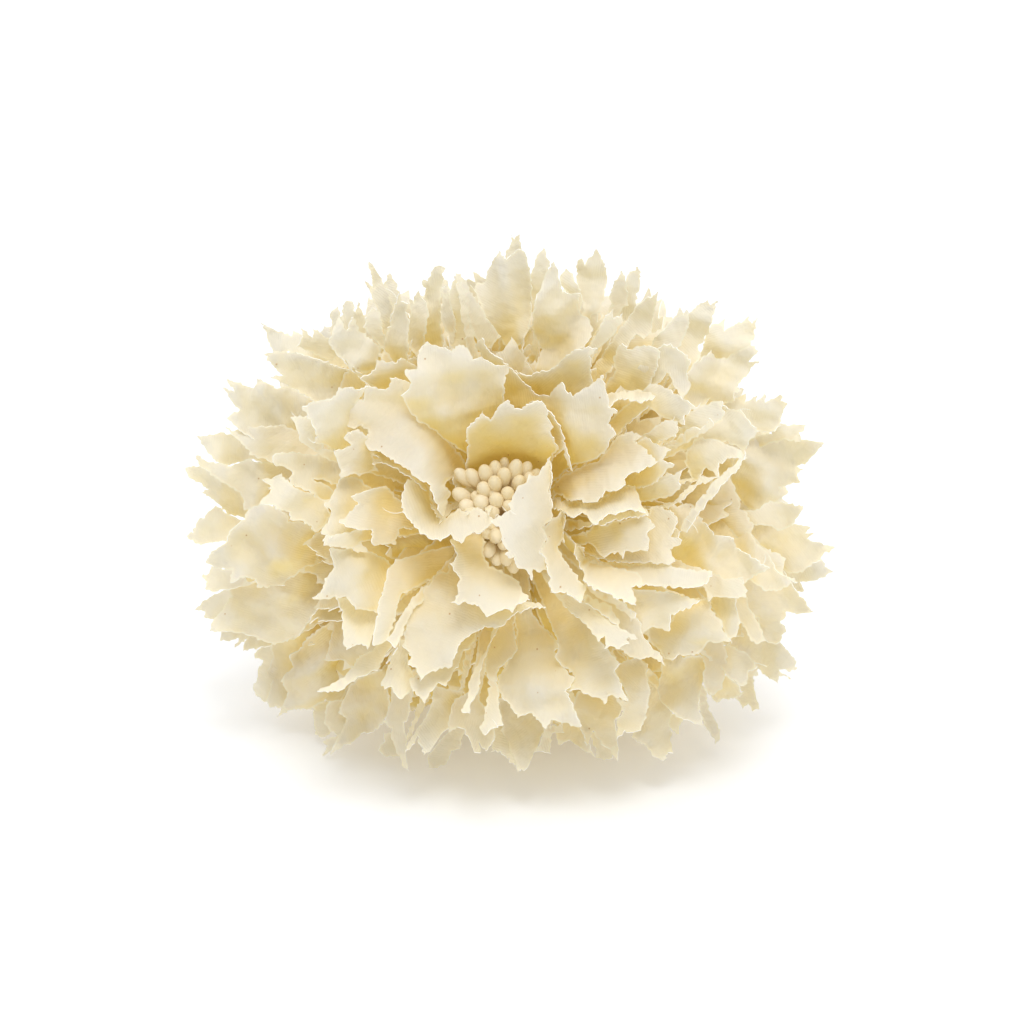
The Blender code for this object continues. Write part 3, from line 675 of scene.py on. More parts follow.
# Each inner petal: its outline seen from in front, points that its sheet passes through (right, up and out of
# the face from the core's centre, in mm), and how much it is dimpled
INNER_PETALS = (
    # tall left
    ((-6.3, 11.6, -8.6, 13.3, -11.1, 15.4, -12.6, 16.5, -14.3, 17.6, -15.7, 18.9, -16.2, 20, -16.5, 21.3,
      -16.8, 22.2, -15.6, 23.6, -15.4, 24.5, -15.7, 25.2, -16.1, 26.6, -14.4, 27.2, -14.2, 28.6, -13.9, 30.6,
      -13.5, 31.3, -12.6, 31.7, -11.8, 31.3, -9.5, 30.8, -8.8, 30.5, -7.8, 30.9, -7, 31.4, -5.7, 30.9,
      -5, 29.8, -4.5, 29.1, -3.1, 29.2, -2, 28.6, -1, 28.1, 0.2, 27.9, 1.3, 27.4, 1.1, 25.2, 0.7, 22.5,
      0.4, 19.7, 0.7, 15.9, 0.3, 12, -0.8, 8.3, -2.8, 6.3, -4.2, 7.2, -5.2, 9.3),
     (-16.8, 22.2, 37, -12.6, 31.7, 38, -7, 31.4, 37, 1.3, 27.4, 33, 0.6, 21.5, 30, -6.3, 11.6, 25,
      -12.3, 16.9, 33, -2.8, 6.3, 13, -6.9, 23.3, 34, -0.8, 8.3, 15), 0.8),
    # behind the bunch
    ((-6, 9, -5.8, 10.6, -5.6, 12.1, -5.7, 13.8, -5.6, 14.9, -5.4, 16.6, -4.7, 17.3, -4, 18.1, -3.2, 19,
      -2.7, 19.4, -2.2, 18.8, -1.5, 18.5, -0.6, 19.3, 0.2, 20.6, 1.1, 21.5, 1.7, 21.7, 2.2, 21.2, 3, 20.6,
      4.1, 20.5, 5, 21.2, 6.2, 21.6, 7.1, 21.8, 8, 21.5, 8.7, 20.2, 9, 18.8, 9.6, 17.2, 9.5, 15.9, 10, 14.8,
      10.5, 13.6, 10.1, 12.4, 9.4, 10.8, 8.1, 9, 5.9, 6.8, 2.7, 4.6, 0, 3.9, -2.5, 5.1, -4.7, 7.7),
     (-5.4, 16.6, 34, -2.7, 19.4, 35, 1.7, 21.7, 37, 7.4, 21.7, 36, 10.5, 13.6, 31, -6, 9, 27, 0, 3.9, 12,
      1.4, 10, 22, 0.1, 15.3, 31, 5.9, 6.8, 16, 5.3, 11.6, 26), 0.6),
    # thin one behind
    ((5.3, 21.1, 7.4, 21.5, 8.9, 19.9, 10.2, 18.7, 11.1, 16.9, 11.6, 15.3, 12, 13.5, 12.5, 11.7, 12.9, 9.7,
      12.1, 10.7, 11.4, 12.5, 10, 11.8, 7.8, 8.7, 4.7, 5.3, 2.7, 6, 4, 12.1, 4.8, 16.9),
     (7.4, 21.5, 33, 11.1, 16.9, 32, 12.9, 9.7, 30, 3.7, 5.6, 13, 7, 14.3, 26), 0.4),
    # tall right
    ((-4.4, 31.3, -3.3, 32.3, -2.6, 31.2, -2, 30.1, -0.7, 29.4, 0.3, 28.7, 1.5, 27.6, 2.6, 26.3, 3.7, 24.9,
      5.1, 23.7, 6.4, 22.7, 7.5, 22.4, 8.7, 22.6, 10, 24, 11.1, 25, 12, 23.6, 13.1, 23.3, 14.6, 23.7,
      16.2, 24.9, 17.3, 25.7, 18.4, 26.3, 18.8, 25.2, 19.1, 23.6, 19.5, 22.7, 19.5, 21.5, 20.8, 20.4,
      20.1, 19.2, 19.7, 18.1, 20.5, 17, 20.8, 16.3, 19.9, 15.4, 19.4, 13.9, 18.5, 12.3, 17.5, 11.5,
      15.3, 10.9, 12.8, 9.9, 10.5, 7.5, 7.5, 5.3, 4.6, 4.6, 2.8, 8, 1.8, 12.8, 0.9, 18.4, -0.5, 23,
      -2.2, 26.7, -3.5, 29.3),
     (-4.4, 31.3, 32, 1.5, 27.6, 29, 7.5, 22.4, 29, 11.1, 25, 33, 18.4, 26.3, 38, 20.8, 20.4, 37,
      20.8, 16.3, 36, 17.5, 11.5, 31, 12.8, 9.9, 25, 4.6, 4.6, 12, 2.9, 11.9, 18, 13.5, 17.5, 32,
      -0.8, 24, 25), 0.6),
    # far behind
    ((2, 24.9, 2.4, 26.4, 3.2, 26.4, 4.4, 25.9, 5.5, 26.3, 7, 26.8, 8.6, 27, 9.7, 27.8, 10.8, 28.9,
      11.9, 30.1, 13.2, 30.8, 14.5, 31.3, 16, 31.5, 16.9, 31.2, 16.1, 30.2, 15.9, 29.1, 16.1, 26.9,
      16.3, 24.7, 15.8, 21.7, 14.3, 17.9, 11, 13.9, 7.2, 11.7, 4.5, 13.6, 2.8, 18.3),
     (2.4, 26.4, 26, 7, 26.8, 27, 11.9, 30.1, 31, 16.9, 31.2, 34, 16.3, 24.7, 29, 8.2, 12.2, 14,
      9.4, 21.4, 23), 0.5),
    # blunt one behind
    ((19.8, 29.3, 20.5, 31, 21.4, 31.9, 22.7, 31.1, 24.6, 31.7, 26.1, 31.9, 27.4, 31.5, 28.1, 30.8, 27.9, 29,
      27.6, 27.5, 26.9, 25.7, 25.6, 22.8, 22, 18.9, 16.4, 13.9, 12.6, 11.8, 12.1, 14.6, 15.5, 19.5,
      18.5, 24.3, 20.3, 27.2),
     (21.4, 31.9, 27, 28.1, 30.8, 30, 27.6, 27.5, 29, 20.3, 27.2, 25, 12.6, 12.7, 12, 21.1, 21.7, 22), 0.5),
    # narrow shelf
    ((18.6, 22.8, 19.7, 23.1, 22.1, 23.5, 24.8, 23.7, 26.8, 23.6, 27.3, 23.1, 26.9, 22.5, 25.1, 22.2,
      23.2, 22.4, 21, 22.1, 20, 21.4, 19.3, 20.6, 17.8, 19.2, 14.8, 16.9, 11.7, 14.5, 12, 16.3, 14.6, 19.4,
      16.7, 21.5),
     (22.1, 23.5, 27, 26.8, 23.6, 30, 27.3, 23.1, 34, 25.1, 22.2, 35, 20, 21.4, 31, 12, 15.5, 12,
      17.4, 22.3, 22), 0.3),
    # left
    ((-28.4, 17.9, -27.3, 19, -26.2, 20, -25.1, 21.1, -24.3, 21.3, -23.9, 22.2, -23.7, 23.3, -23.5, 23.9,
      -23, 23.7, -21.4, 23.4, -20.3, 23.2, -19.6, 24, -19.3, 25.1, -18.4, 25.1, -16.8, 24.7, -15.8, 24.1,
      -14, 21.6, -11.7, 17.5, -9.5, 13.7, -7.6, 10.1, -6.2, 6.8, -6.3, 4.8, -7.5, 4.3, -8.1, 4.5, -8.2, 5.6,
      -8.7, 6.7, -9.2, 6.3, -8.8, 5, -8.9, 3.7, -8.9, 2.7, -9.3, 1.4, -9.8, 2.5, -10.4, 4.4, -11, 5.8,
      -11.9, 6.8, -13.3, 7.7, -14.6, 8.5, -16, 9.5, -17.5, 10.3, -18.8, 10.8, -19.9, 11.6, -20.7, 12.3,
      -22.1, 12.3, -23.4, 13.1, -23.7, 14.1, -23.1, 15.2, -23.5, 15.8, -24.6, 16.5, -25.5, 16.1, -26.4, 16.3,
      -27.4, 16.7),
     (-28.4, 17.9, 33, -23.5, 23.9, 36, -19.3, 25.1, 36, -15.8, 24.1, 33, -23.7, 14.1, 36, -18.8, 10.8, 38,
      -13.3, 7.7, 39, -9.2, 2, 36, -9, 5.4, 33, -8.3, 5.4, 26, -6.4, 5.5, 13, -9.5, 13.7, 22,
      -12.7, 19.4, 29, -18.5, 17.6, 33, -12.1, 11.6, 34), 0.7),
    # under the left one
    ((-25.8, 14.4, -24.7, 14.1, -23.8, 12.8, -22.3, 11.8, -21.6, 10.8, -21.9, 10.1, -20.8, 10, -18.8, 9.3,
      -16.9, 8.5, -14.9, 7.2, -12.9, 5.3, -10.9, 3, -8.9, 1.4, -8, 2, -8.3, 4.8, -11.3, 8.1, -15.6, 11,
      -19.9, 13.7, -23.5, 15.8, -25.6, 15.8),
     (-25.8, 14.4, 30, -21.9, 10.1, 34, -16.9, 8.5, 35, -12.9, 5.6, 33, -8.3, 2.1, 12, -8.3, 4.8, 12,
      -15.6, 11, 25, -22.5, 14.6, 29), 0.5),
    # cup lower left
    ((-15.5, 7, -16.1, 6.4, -16.2, 5.2, -16.4, 4.3, -16.4, 3.1, -15.5, 1.5, -14.8, 0.8, -13.9, -0.4,
      -12.8, -1.2, -11.7, -2, -10.8, -2.3, -9.1, -2.6, -8.3, -2.1, -7.4, -1.9, -6.5, -2.4, -5.4, -2.7,
      -4.6, -2, -3.6, -1.3, -2.5, -1.4, -1.5, -0.8, -0.7, -0.1, -0.1, 0.7, -0.7, 1.4, -1.3, 2, -2.7, 2.6,
      -3.7, 2.3, -5.1, 1.9, -6.7, 1.9, -7.8, 1.3, -8.7, 0.7, -9.7, 0.4, -10.6, 1.3, -11.6, 2.8, -12, 4.1,
      -12.2, 5.7, -13.8, 6.7, -14.9, 7.2),
     (-15.5, 7, 36, -12.2, 5.7, 31, -16.4, 3.1, 41, -13.9, -0.4, 43, -9.1, -2.6, 44, -5.4, -2.7, 44,
      -0.7, -0.1, 42, -2.7, 2.6, 38, -6.7, 1.9, 36, -9.7, 0.4, 34, -11.6, 2.8, 31, -13.5, 2.8, 36,
      -7.7, -0.5, 41), 0.35),
    # cup's claw
    ((-9.7, 0.4, -8.3, 1.4, -6.8, 1.8, -4.7, 2, -2.7, 2.1, -0.8, 2.1, -1.3, 2.5, -2.9, 3, -5, 2.7, -6.4, 2.2,
      -8, 2.2, -9.5, 2, -11.2, 2.4, -12.1, 2.9, -10.8, 1.5),
     (-9.7, 0.4, 34, -5.3, 2, 36, -1.3, 2.2, 37, -3.5, 2.7, 12, -6.4, 2.2, 13, -10.4, 2.4, 30), 0.2),
    # hanging
    ((-7.5, -3.3, -6.8, -4.5, -6.5, -5.3, -6.9, -6.6, -7.2, -6.9, -6.5, -8.2, -5.9, -9.3, -5.8, -10.6,
      -5.8, -11.7, -5.9, -12.7, -6.2, -13.2, -5.6, -13.5, -4.4, -13.3, -3.1, -13.5, -1.9, -13.8, -1.1, -14.7,
      -0.3, -15.4, 0.7, -15, 1.9, -14.5, 2.7, -14.2, 3.9, -14.3, 4.6, -13.7, 5.5, -13.3, 6.5, -12.7,
      6.1, -12.2, 5.1, -11.3, 4.5, -10.3, 3.3, -9.4, 2, -8.8, 0.4, -8.2, -0.9, -7.7, -1.9, -6.8, -2.4, -5.6,
      -2.3, -4.5, -2.5, -3.3, -3, -1.5, -2.9, 0.1, -4.7, 0.6, -6.2, -0.5, -6.7, -1.9),
     (-7.5, -3.3, 36, -5.9, -9.3, 41, -5.8, -13, 45, -0.3, -15.4, 48, 6.5, -12.7, 43, 3.3, -9.4, 38,
      -1.9, -6.8, 33, -2.7, -2.2, 26, -4.2, 0.3, 12, -6.2, -0.5, 14, -2, -10.5, 43), 0.6),
    # over the stamens
    ((9.1, 11.2, 8.5, 10.4, 7.7, 9.5, 7.2, 8.7, 6, 8.6, 5.4, 7.6, 4.6, 7.2, 3.8, 6.2, 3.3, 5.1, 2.9, 3.9,
      3, 3.1, 1.8, 2.2, 0.8, 1.7, 0.2, 1.1, 0.8, 0.2, 1.5, -0.3, 1.9, -1.6, 2.1, -2.7, 2.5, -3.5, 2.8, -4.1,
      2.7, -4.6, 3.2, -5.3, 4, -5.3, 4.4, -6.2, 5.1, -7.1, 6.1, -7.5, 6.8, -8.4, 7.1, -9, 7.4, -7.8,
      8.4, -7.9, 9.4, -7.6, 9.7, -7, 9.5, -6.1, 8.9, -5.2, 8.4, -4.3, 8.7, -3.4, 9.2, -2.3, 8.8, -0.8,
      8.6, -0.3, 9.3, 0.4, 9.9, 1.2, 10, 2.2, 10, 3.4, 9.6, 4.6, 9.3, 5.7, 9.4, 6.7, 9.7, 7.7, 9.5, 8.8,
      9.3, 10),
     (9.1, 11.2, 33, 9.6, 6.7, 34, 2.9, 3.9, 42, 0.2, 1.1, 45, 2.8, -4.2, 46, 7.1, -9, 43, 9.5, -6.4, 39,
      9.1, -1.7, 38, 10, 2.6, 36, 4.6, 7.2, 39, 6.2, 0.4, 43), 0.7),
    # its claw
    ((9.3, 10.2, 9.8, 7.8, 9.4, 5.9, 9.9, 3.4, 9.9, 1.2, 8.4, -1, 9.1, -2.4, 8.4, -4.3, 6.3, -3.7, 4.6, -1.8,
      3, 0.3, 2.9, 2, 4.3, 3.4, 6.6, 6.5, 8.2, 9.1),
     (9.3, 10.2, 33, 9.9, 3.4, 35, 8.8, -3.6, 37, 3.4, 1.3, 10, 5.7, -0.6, 20, 6.6, 5.9, 22), 0.2),
    # upper shelf
    ((7.2, 3.2, 9.4, 6.4, 13.2, 8.8, 17.6, 10.9, 19.4, 13, 20, 14.2, 20.7, 15.2, 21.8, 15.9, 22.9, 16.4,
      24.4, 16.3, 25.1, 15.7, 24.5, 14.9, 25.8, 14, 26.7, 13.2, 28.2, 11.7, 27.5, 10.9, 26, 10.1, 24.7, 9.6,
      23.3, 9.2, 22.8, 8.5, 22.7, 7.7, 22, 6.9, 20.8, 6.5, 19.5, 6.2, 18.8, 5.3, 18, 4.4, 16.7, 4.2,
      15.4, 4.1, 14.4, 4.3, 13.1, 4, 10.1, 4.2, 8, 2.4),
     (7.7, 2.9, 12, 13.2, 8.8, 22, 20, 14.2, 28, 22.9, 16.4, 30, 28.2, 11.7, 36, 26, 10.1, 37, 22.7, 7.7, 38,
      18, 4.4, 37, 13.1, 4, 31, 18.1, 9.5, 30), 0.7),
    # shelf below
    ((7.2, 1.9, 9.5, 3.3, 12.5, 3.5, 15.5, 3.4, 18.3, 4.2, 20, 5.6, 22.5, 6.6, 24.3, 6.6, 25.2, 5.2, 25.8, 4,
      26.2, 3.2, 24.5, 3.2, 23.1, 3.1, 21.4, 2.7, 20.1, 2.3, 19.1, 1.7, 18.5, 1, 17.7, 1, 16.5, 1.5,
      15.7, 1.9, 14.6, 1.8, 13.4, 1.6, 12.4, 1.8, 11.3, 2.2, 10.3, 2.1, 8.3, 1.5),
     (7.6, 1.7, 12, 12.5, 3.5, 24, 18.3, 4.2, 31, 24.3, 6.6, 33, 26.2, 3.5, 38, 21.4, 2.7, 41, 18.5, 1, 42,
      13.4, 1.6, 36, 10.3, 2.1, 28), 0.3),
    # its under side
    ((10.3, -1, 13.4, -0.3, 16.5, 0.1, 18.4, 1, 20.5, 2.1, 24.3, 2.7, 26.5, 2.8, 26.7, 2.3, 25.7, 2,
      23.9, 1.7, 22.1, 1.4, 20.7, 1, 19.9, 0.5, 18.6, 0.1, 16.6, -0.4, 13.7, -1.7, 10.5, -2.2),
     (10.8, -1.5, 16, 18.1, 0.8, 33, 26.1, 2.8, 36, 26.2, 2.1, 38, 19.9, 0.5, 38, 14.7, -1.2, 28), 0.2),
    # middle right
    ((7.9, -1.3, 9.7, -2.3, 11.7, -3.4, 13.1, -2.9, 14.3, -2.4, 15.6, -1.6, 16.6, -0.9, 17.3, -0.1,
      18.4, 0.2, 19.7, 0.1, 20.7, 0.7, 22, 0.9, 23.8, 1.3, 25.6, 1.8, 26.7, 1.8, 27.4, 1.4, 28, 0.4,
      27.3, -0.4, 27, -1.2, 27.4, -2, 27.2, -2.9, 26.9, -3.6, 25.5, -3.9, 24.4, -4.4, 23.2, -4.4, 22.7, -5.1,
      21.9, -4.7, 20.5, -5, 19.4, -5.4, 18.6, -5.2, 17.8, -4.4, 17.1, -3.8, 15.7, -3.8, 14.8, -4.2,
      13.8, -4.3, 12.7, -3.9, 11.3, -4.2, 8.9, -3.5, 7.4, -2.8),
     (8, -2, 11, 11.7, -3.6, 22, 17.3, -0.1, 31, 22, 0.9, 34, 26.7, 1.8, 37, 28, 0.4, 38, 22.7, -5.1, 38,
      17.1, -3.8, 32, 13.8, -4.3, 27), 0.5),
    # large one behind it
    ((25.5, 0.9, 26.9, 2.1, 27.4, 3, 28.3, 3.4, 29.4, 3.3, 30.5, 3.2, 31.4, 2.5, 32.2, 1.4, 31.8, -0.1,
      31.5, -1.5, 32.8, -2.2, 32.3, -3.1, 31.3, -3.9, 31.7, -5.6, 31.3, -6.1, 28.5, -6.3, 25.8, -6.4,
      23.1, -6.4, 20.4, -6.5, 18.1, -6.2, 15.5, -5.7, 11.4, -5.4, 10.3, -4.4, 14.3, -3.4, 19, -2,
      22.8, -0.7),
     (27.4, 3, 33, 31.4, 2.5, 35, 32.8, -2.2, 37, 31.3, -6.1, 38, 25.8, -6.4, 36, 18.1, -6.2, 31,
      10.8, -5, 14, 20, -2.4, 27), 0.5),
    # bright long one
    ((11.4, -6.3, 13.6, -6.4, 15.1, -6.9, 16.6, -7.1, 18.5, -6.8, 20.9, -6.9, 23.1, -6.9, 25.7, -6.6,
      28.4, -6.4, 30.2, -6.4, 31.3, -6.4, 32.4, -6.9, 34.7, -7.1, 36.5, -7.2, 38.3, -7.4, 38.2, -8.5,
      37.7, -9.2, 36.6, -9.7, 34.9, -9.8, 32.4, -10.1, 30.5, -10.1, 27.8, -10, 26.2, -9.9, 24.1, -9.4,
      20.5, -8.8, 16.7, -8.1, 13.3, -7.7),
     (11.8, -6.5, 13, 16.6, -7.1, 28, 25.7, -6.6, 34, 31.3, -6.4, 37, 38.3, -7.4, 41, 36.6, -9.7, 43,
      30.5, -10.1, 41, 24.1, -9.4, 37, 16.7, -8.1, 30), 0.5),
    # cup lower right
    ((14.3, -4, 14.1, -5.2, 14.5, -6.2, 15.3, -7.8, 16.5, -9.2, 17.9, -10.3, 19.1, -10.7, 20.4, -11.2,
      21.3, -11.5, 22.2, -12.1, 23.1, -12.1, 24, -12.4, 25.3, -12.8, 25.1, -11.7, 24.9, -10.4, 26.2, -9.7,
      26, -8.8, 25.4, -8.2, 23.2, -7.8, 20.9, -7.3, 18.5, -7.1, 16.6, -7, 15.5, -6.6, 15.3, -6.1, 15.5, -4.9,
      14.8, -4.2),
     (14.3, -4, 31, 14.5, -6.2, 36, 16.5, -9.2, 41, 21.3, -11.5, 44, 25.3, -12.8, 44, 26.2, -9.4, 40,
      23.2, -7.8, 36, 18.5, -7.1, 31, 15.4, -6.5, 27, 19.8, -9.1, 38), 0.3),
    # its claw
    ((14.3, -4.1, 15.5, -4.4, 15.5, -6.1, 14.2, -7.5, 12.6, -6.2, 10.6, -4.2, 7.9, -2.9, 7.2, -1.6,
      8.9, -0.9, 11.9, -2.2),
     (14.3, -4.1, 30, 15.3, -6.2, 28, 8.1, -1.8, 11, 10.7, -3.4, 20), 0.1),
    # hanging right
    ((11.6, 1.7, 10.5, 1, 9.6, 0.4, 9, -0.2, 8.5, -0.6, 8.7, -1.8, 9.1, -2.6, 8.7, -3.5, 8.4, -4.6, 9, -5.5,
      9.5, -6.3, 9.6, -7.3, 10, -8.4, 10.3, -9.1, 10.6, -10.5, 10.8, -11, 12.2, -11.3, 13.2, -11.3,
      14.1, -11.8, 15.1, -12.4, 15.9, -12.6, 16.3, -11.7, 16.6, -11, 15.8, -9.9, 14.8, -9, 13.7, -7.9,
      12.7, -6.6, 11.7, -5.5, 11.1, -4.4, 11.5, -3.6, 11.8, -2.6, 11.7, -0.9, 12, 0.3),
     (11.6, 1.7, 29, 8.5, -0.6, 37, 8.4, -4.6, 40, 10, -8.4, 42, 10.8, -11, 45, 15.9, -12.6, 45,
      16.6, -11, 41, 12.7, -6.6, 36, 11.5, -3.6, 32, 11.8, 0.3, 29), 0.5),
    # its claw
    ((11.6, 1.7, 12.1, 0.4, 11.7, -1.4, 11.8, -3.2, 10.3, -2.7, 7.8, -1, 5.5, 0.6, 4.4, 1.5, 6.6, 2.2,
      9.2, 2),
     (11.6, 1.7, 29, 11.8, -3.2, 31, 5.1, 1.3, 10, 8.4, 0.4, 20), 0.1),
    # long lower right
    ((10, -12.4, 11.6, -12.7, 12.7, -12.5, 14, -12.9, 15.6, -13.4, 16.3, -13.8, 17.2, -14.4, 18.2, -15.1,
      19.3, -15.5, 20.2, -16.1, 21.3, -16.9, 22.4, -17.3, 23.3, -17.5, 24.6, -18.2, 25.8, -18.9, 24.3, -19.3,
      24.3, -19.8, 23.6, -20, 22.8, -20.6, 21.5, -20.4, 20.5, -20.4, 20.2, -19.5, 20, -19, 19.2, -19.5,
      18.4, -18.6, 17.4, -17.7, 14.6, -15.8, 12.1, -14.1, 8.5, -10.8, 6.2, -8, 4.5, -5.8, 6.8, -5.5,
      9.2, -8.4),
     (4.9, -5.9, 14, 8.3, -9.3, 24, 11.6, -12.7, 33, 15.6, -13.4, 37, 21.3, -16.9, 41, 25.8, -18.9, 44,
      22.8, -20.6, 45, 19.3, -19.2, 43, 14.6, -15.8, 38), 0.5),
    # strip
    ((14.6, -11, 15.7, -12.2, 17, -12.6, 18.9, -13.3, 20, -13.7, 20.9, -14.2, 21.2, -14.9, 22.3, -16.2,
      22.4, -17, 21.3, -16.5, 20.2, -15.7, 18.7, -14.8, 17.2, -14, 15.8, -13.2, 14.4, -12.3, 11.9, -10.2,
      10.2, -8.5, 11.6, -8.4),
     (11.1, -8.9, 18, 15.7, -12.2, 33, 20, -13.7, 38, 22.3, -16.7, 41, 17.2, -14, 38), 0.3),
    # small tip
    ((18, -11.8, 20.1, -11.9, 22, -12.7, 22.9, -12.9, 24, -13.7, 24.8, -14.4, 25.2, -14.7, 24.8, -15.4,
      23.9, -15, 22.8, -14.6, 21.7, -13.9, 20, -13.4, 18, -13, 14.7, -10.9, 13.6, -9.5, 15.2, -10),
     (14.2, -9.9, 22, 20.1, -11.9, 36, 25.2, -14.7, 42, 21.7, -13.9, 39), 0.3),
    # lower left large
    ((-9.1, -9.6, -10, -9.7, -10.9, -10.3, -11.6, -11.3, -12.4, -12.3, -13.5, -13.4, -14.6, -15.1,
      -14.9, -16.5, -15, -17.8, -15.2, -18.8, -15.5, -19.8, -15.4, -21.7, -14.6, -23, -14.2, -23.6,
      -14.1, -24.6, -13.1, -25.2, -12.5, -26, -11.9, -27, -11.3, -26.5, -10.4, -26.1, -9.6, -25.7,
      -8.8, -25.2, -7.7, -25.1, -6.8, -24.9, -6.5, -23.9, -6.1, -23.1, -5.8, -21.7, -5.3, -20.7, -4.6, -20.1,
      -3.6, -19.4, -2.3, -18.6, -1.1, -17.9, -0.2, -17.9, 0.7, -18, 2.5, -17.4, 2.9, -16.7, 3.6, -16.2,
      4.3, -15.6, 5, -15.3, 6.8, -14.5, 9.1, -14.1, 8.1, -13.6, 4.8, -13.4, 0.8, -11.3, -2.6, -7.8, -4.6, -5,
      -6.4, -3.5, -7.7, -5.7, -8.9, -7.9),
     (-5.9, -4.2, 13, -7.1, -7.9, 24, -10.9, -10.3, 32, -14.9, -16.5, 38, -15.4, -21.7, 41, -11.9, -27, 45,
      -6.8, -24.9, 43, -2.3, -18.6, 41, 3.6, -16.2, 41, 9.1, -14.1, 42, 0.8, -11.3, 33,
      -7.5, -17.2, 39), 0.8),
)


def bent_sheet(known, asked):
    """Height of a thin sheet at the asked places, bent smoothly through known (right, up, height) points."""

    def spring(gap):
        return gap**2 * np.log(np.maximum(gap, 1e-9))

    places, heights = known[:, :2], known[:, 2]
    count = len(known)
    system = np.zeros((count + 3, count + 3))
    system[:count, :count] = spring(np.linalg.norm(places[:, None] - places[None], axis=2))
    system[:count, count] = 1
    system[:count, count + 1:] = places
    system[count:, :count] = system[:count, count:].T
    weights = np.linalg.solve(system, np.concatenate((heights, np.zeros(3))))
    pull = spring(np.linalg.norm(asked[:, None] - places[None], axis=2))
    return pull @ weights[:count] + weights[count] + asked @ weights[count + 1:]


def inside_outline(outline, places):
    """Whether each place is inside a closed outline."""
    following = np.roll(outline, -1, axis=0)
    across, up = places[:, :1], places[:, 1:]
    between = (outline[:, 1] > up) != (following[:, 1] > up)
    rise = np.where(following[:, 1] == outline[:, 1], 1e-12, following[:, 1] - outline[:, 1])
    crossing = outline[:, 0] + (up - outline[:, 1]) / rise * (following[:, 0] - outline[:, 0])
    return (between & (across < crossing)).sum(axis=1) % 2 == 1


def sharpened(corners):
    """The outline with its teeth drawn out a little and the notches between them cut deeper."""
    before = unit(corners - np.roll(corners, 1, axis=0))
    after = unit(np.roll(corners, -1, axis=0) - corners)
    turned = (before * after).sum(axis=1, keepdims=True)
    return corners + unit(before - after + 1e-9) * np.clip(1 - turned, 0, 1) * TOOTH_DRAW


def nicks(count, rng):
    """Small uneven teeth along a margin of count points: how far each point is moved sideways, in mm."""
    moved = np.zeros(count)
    start = 0
    while start < count:
        run = rng.randint(2, 6)
        moved[start:start + run] = rng.uniform(0.05, 0.42) * (1 - np.arange(run)[:count - start] / run)
        start += run
    return moved - moved.mean()


def hand_shaped(corners, height, dimple, rng):
    """A petal cut to its own outline in mm, with frayed margins; height gives how far out it lies."""
    corners = sharpened(corners)
    following = np.roll(corners, -1, axis=0)
    margin = []
    for first, second in zip(corners, following):
        steps = max(1, round(float(np.linalg.norm(second - first)) * MM / MARGIN_STEP))
        margin += [first + (second - first) * step / steps for step in range(steps)]
    margin = np.array(margin)
    tangent = unit(np.roll(margin, -1, axis=0) - np.roll(margin, 1, axis=0))
    fray = nicks(len(margin), rng) + np.array([rng.gauss(0, FRAY / MM) for _ in margin])
    margin = margin + np.column_stack((tangent[:, 1], -tangent[:, 0])) * fray[:, None]
    step = SHEET_STEP / MM * 0.8
    low, high = margin.min(axis=0), margin.max(axis=0)
    rows = np.arange(low[1], high[1], step * ROW_STEP)
    grid = np.array([
        (across + (step / 2 if i % 2 else 0) + rng.uniform(-0.12, 0.12), up + rng.uniform(-0.12, 0.12))
        for i, up in enumerate(rows)
        for across in np.arange(low[0], high[0], step)
    ])
    grid = grid[inside_outline(margin, grid)]
    grid = grid[np.linalg.norm(grid[:, None] - margin[None], axis=2).min(axis=1) > 0.5 * step]
    flat = [Vector(point) for point in np.vstack((margin, grid)).tolist()]
    points, _, faces, *_ = geometry.delaunay_2d_cdt(flat, [], [list(range(len(margin)))], 1, 1e-6)
    points = np.array([tuple(point) for point in points])
    gaps = np.linalg.norm(points[:, None] - margin[None], axis=2)
    from_edge = gaps.min(axis=1)
    out = height(points)
    round_it = gaps.argmin(axis=1) / len(margin) * math.tau
    lip = np.clip(1 - from_edge / LIP, 0, 1) ** 2 * ease(np.linalg.norm(points, axis=1), 12, 26)
    curled = 0.5 * np.sin(rng.randint(3, 5) * round_it + rng.uniform(0, math.tau))
    curled += 0.3 * np.sin(rng.randint(6, 9) * round_it + rng.uniform(0, math.tau))
    out += dimple * lip * curled
    free = dimple * ease(np.linalg.norm(points, axis=1), 8, 20)
    for size, swell in HAND_SWELLS:
        angle = rng.uniform(0, math.pi)
        phase = (points[:, 0] * math.cos(angle) + points[:, 1] * math.sin(angle)) / size * math.tau
        out += free * swell * np.sin(phase + rng.uniform(0, math.tau))
    placed = from_core(points[:, 0] * MM, points[:, 1] * MM, out * MM)
    return Petal(placed, faces, points * MM, from_edge * MM, rng.uniform(0, 1))


def inner_petals():
    rng = random.Random(5)
    petals = []
    for corners, known, dimple in INNER_PETALS:
        corners = np.array(corners).reshape(-1, 2)
        known = np.array(known, float).reshape(-1, 3)
        petals.append(hand_shaped(corners, partial(bent_sheet, known), dimple, rng))
    piece = cloth_piece("inner_petals_cloth", petals, (inner_cloth, cut_edge))
    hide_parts("inner_petals")
    return piece


cloth_pieces = [inner_petals()]

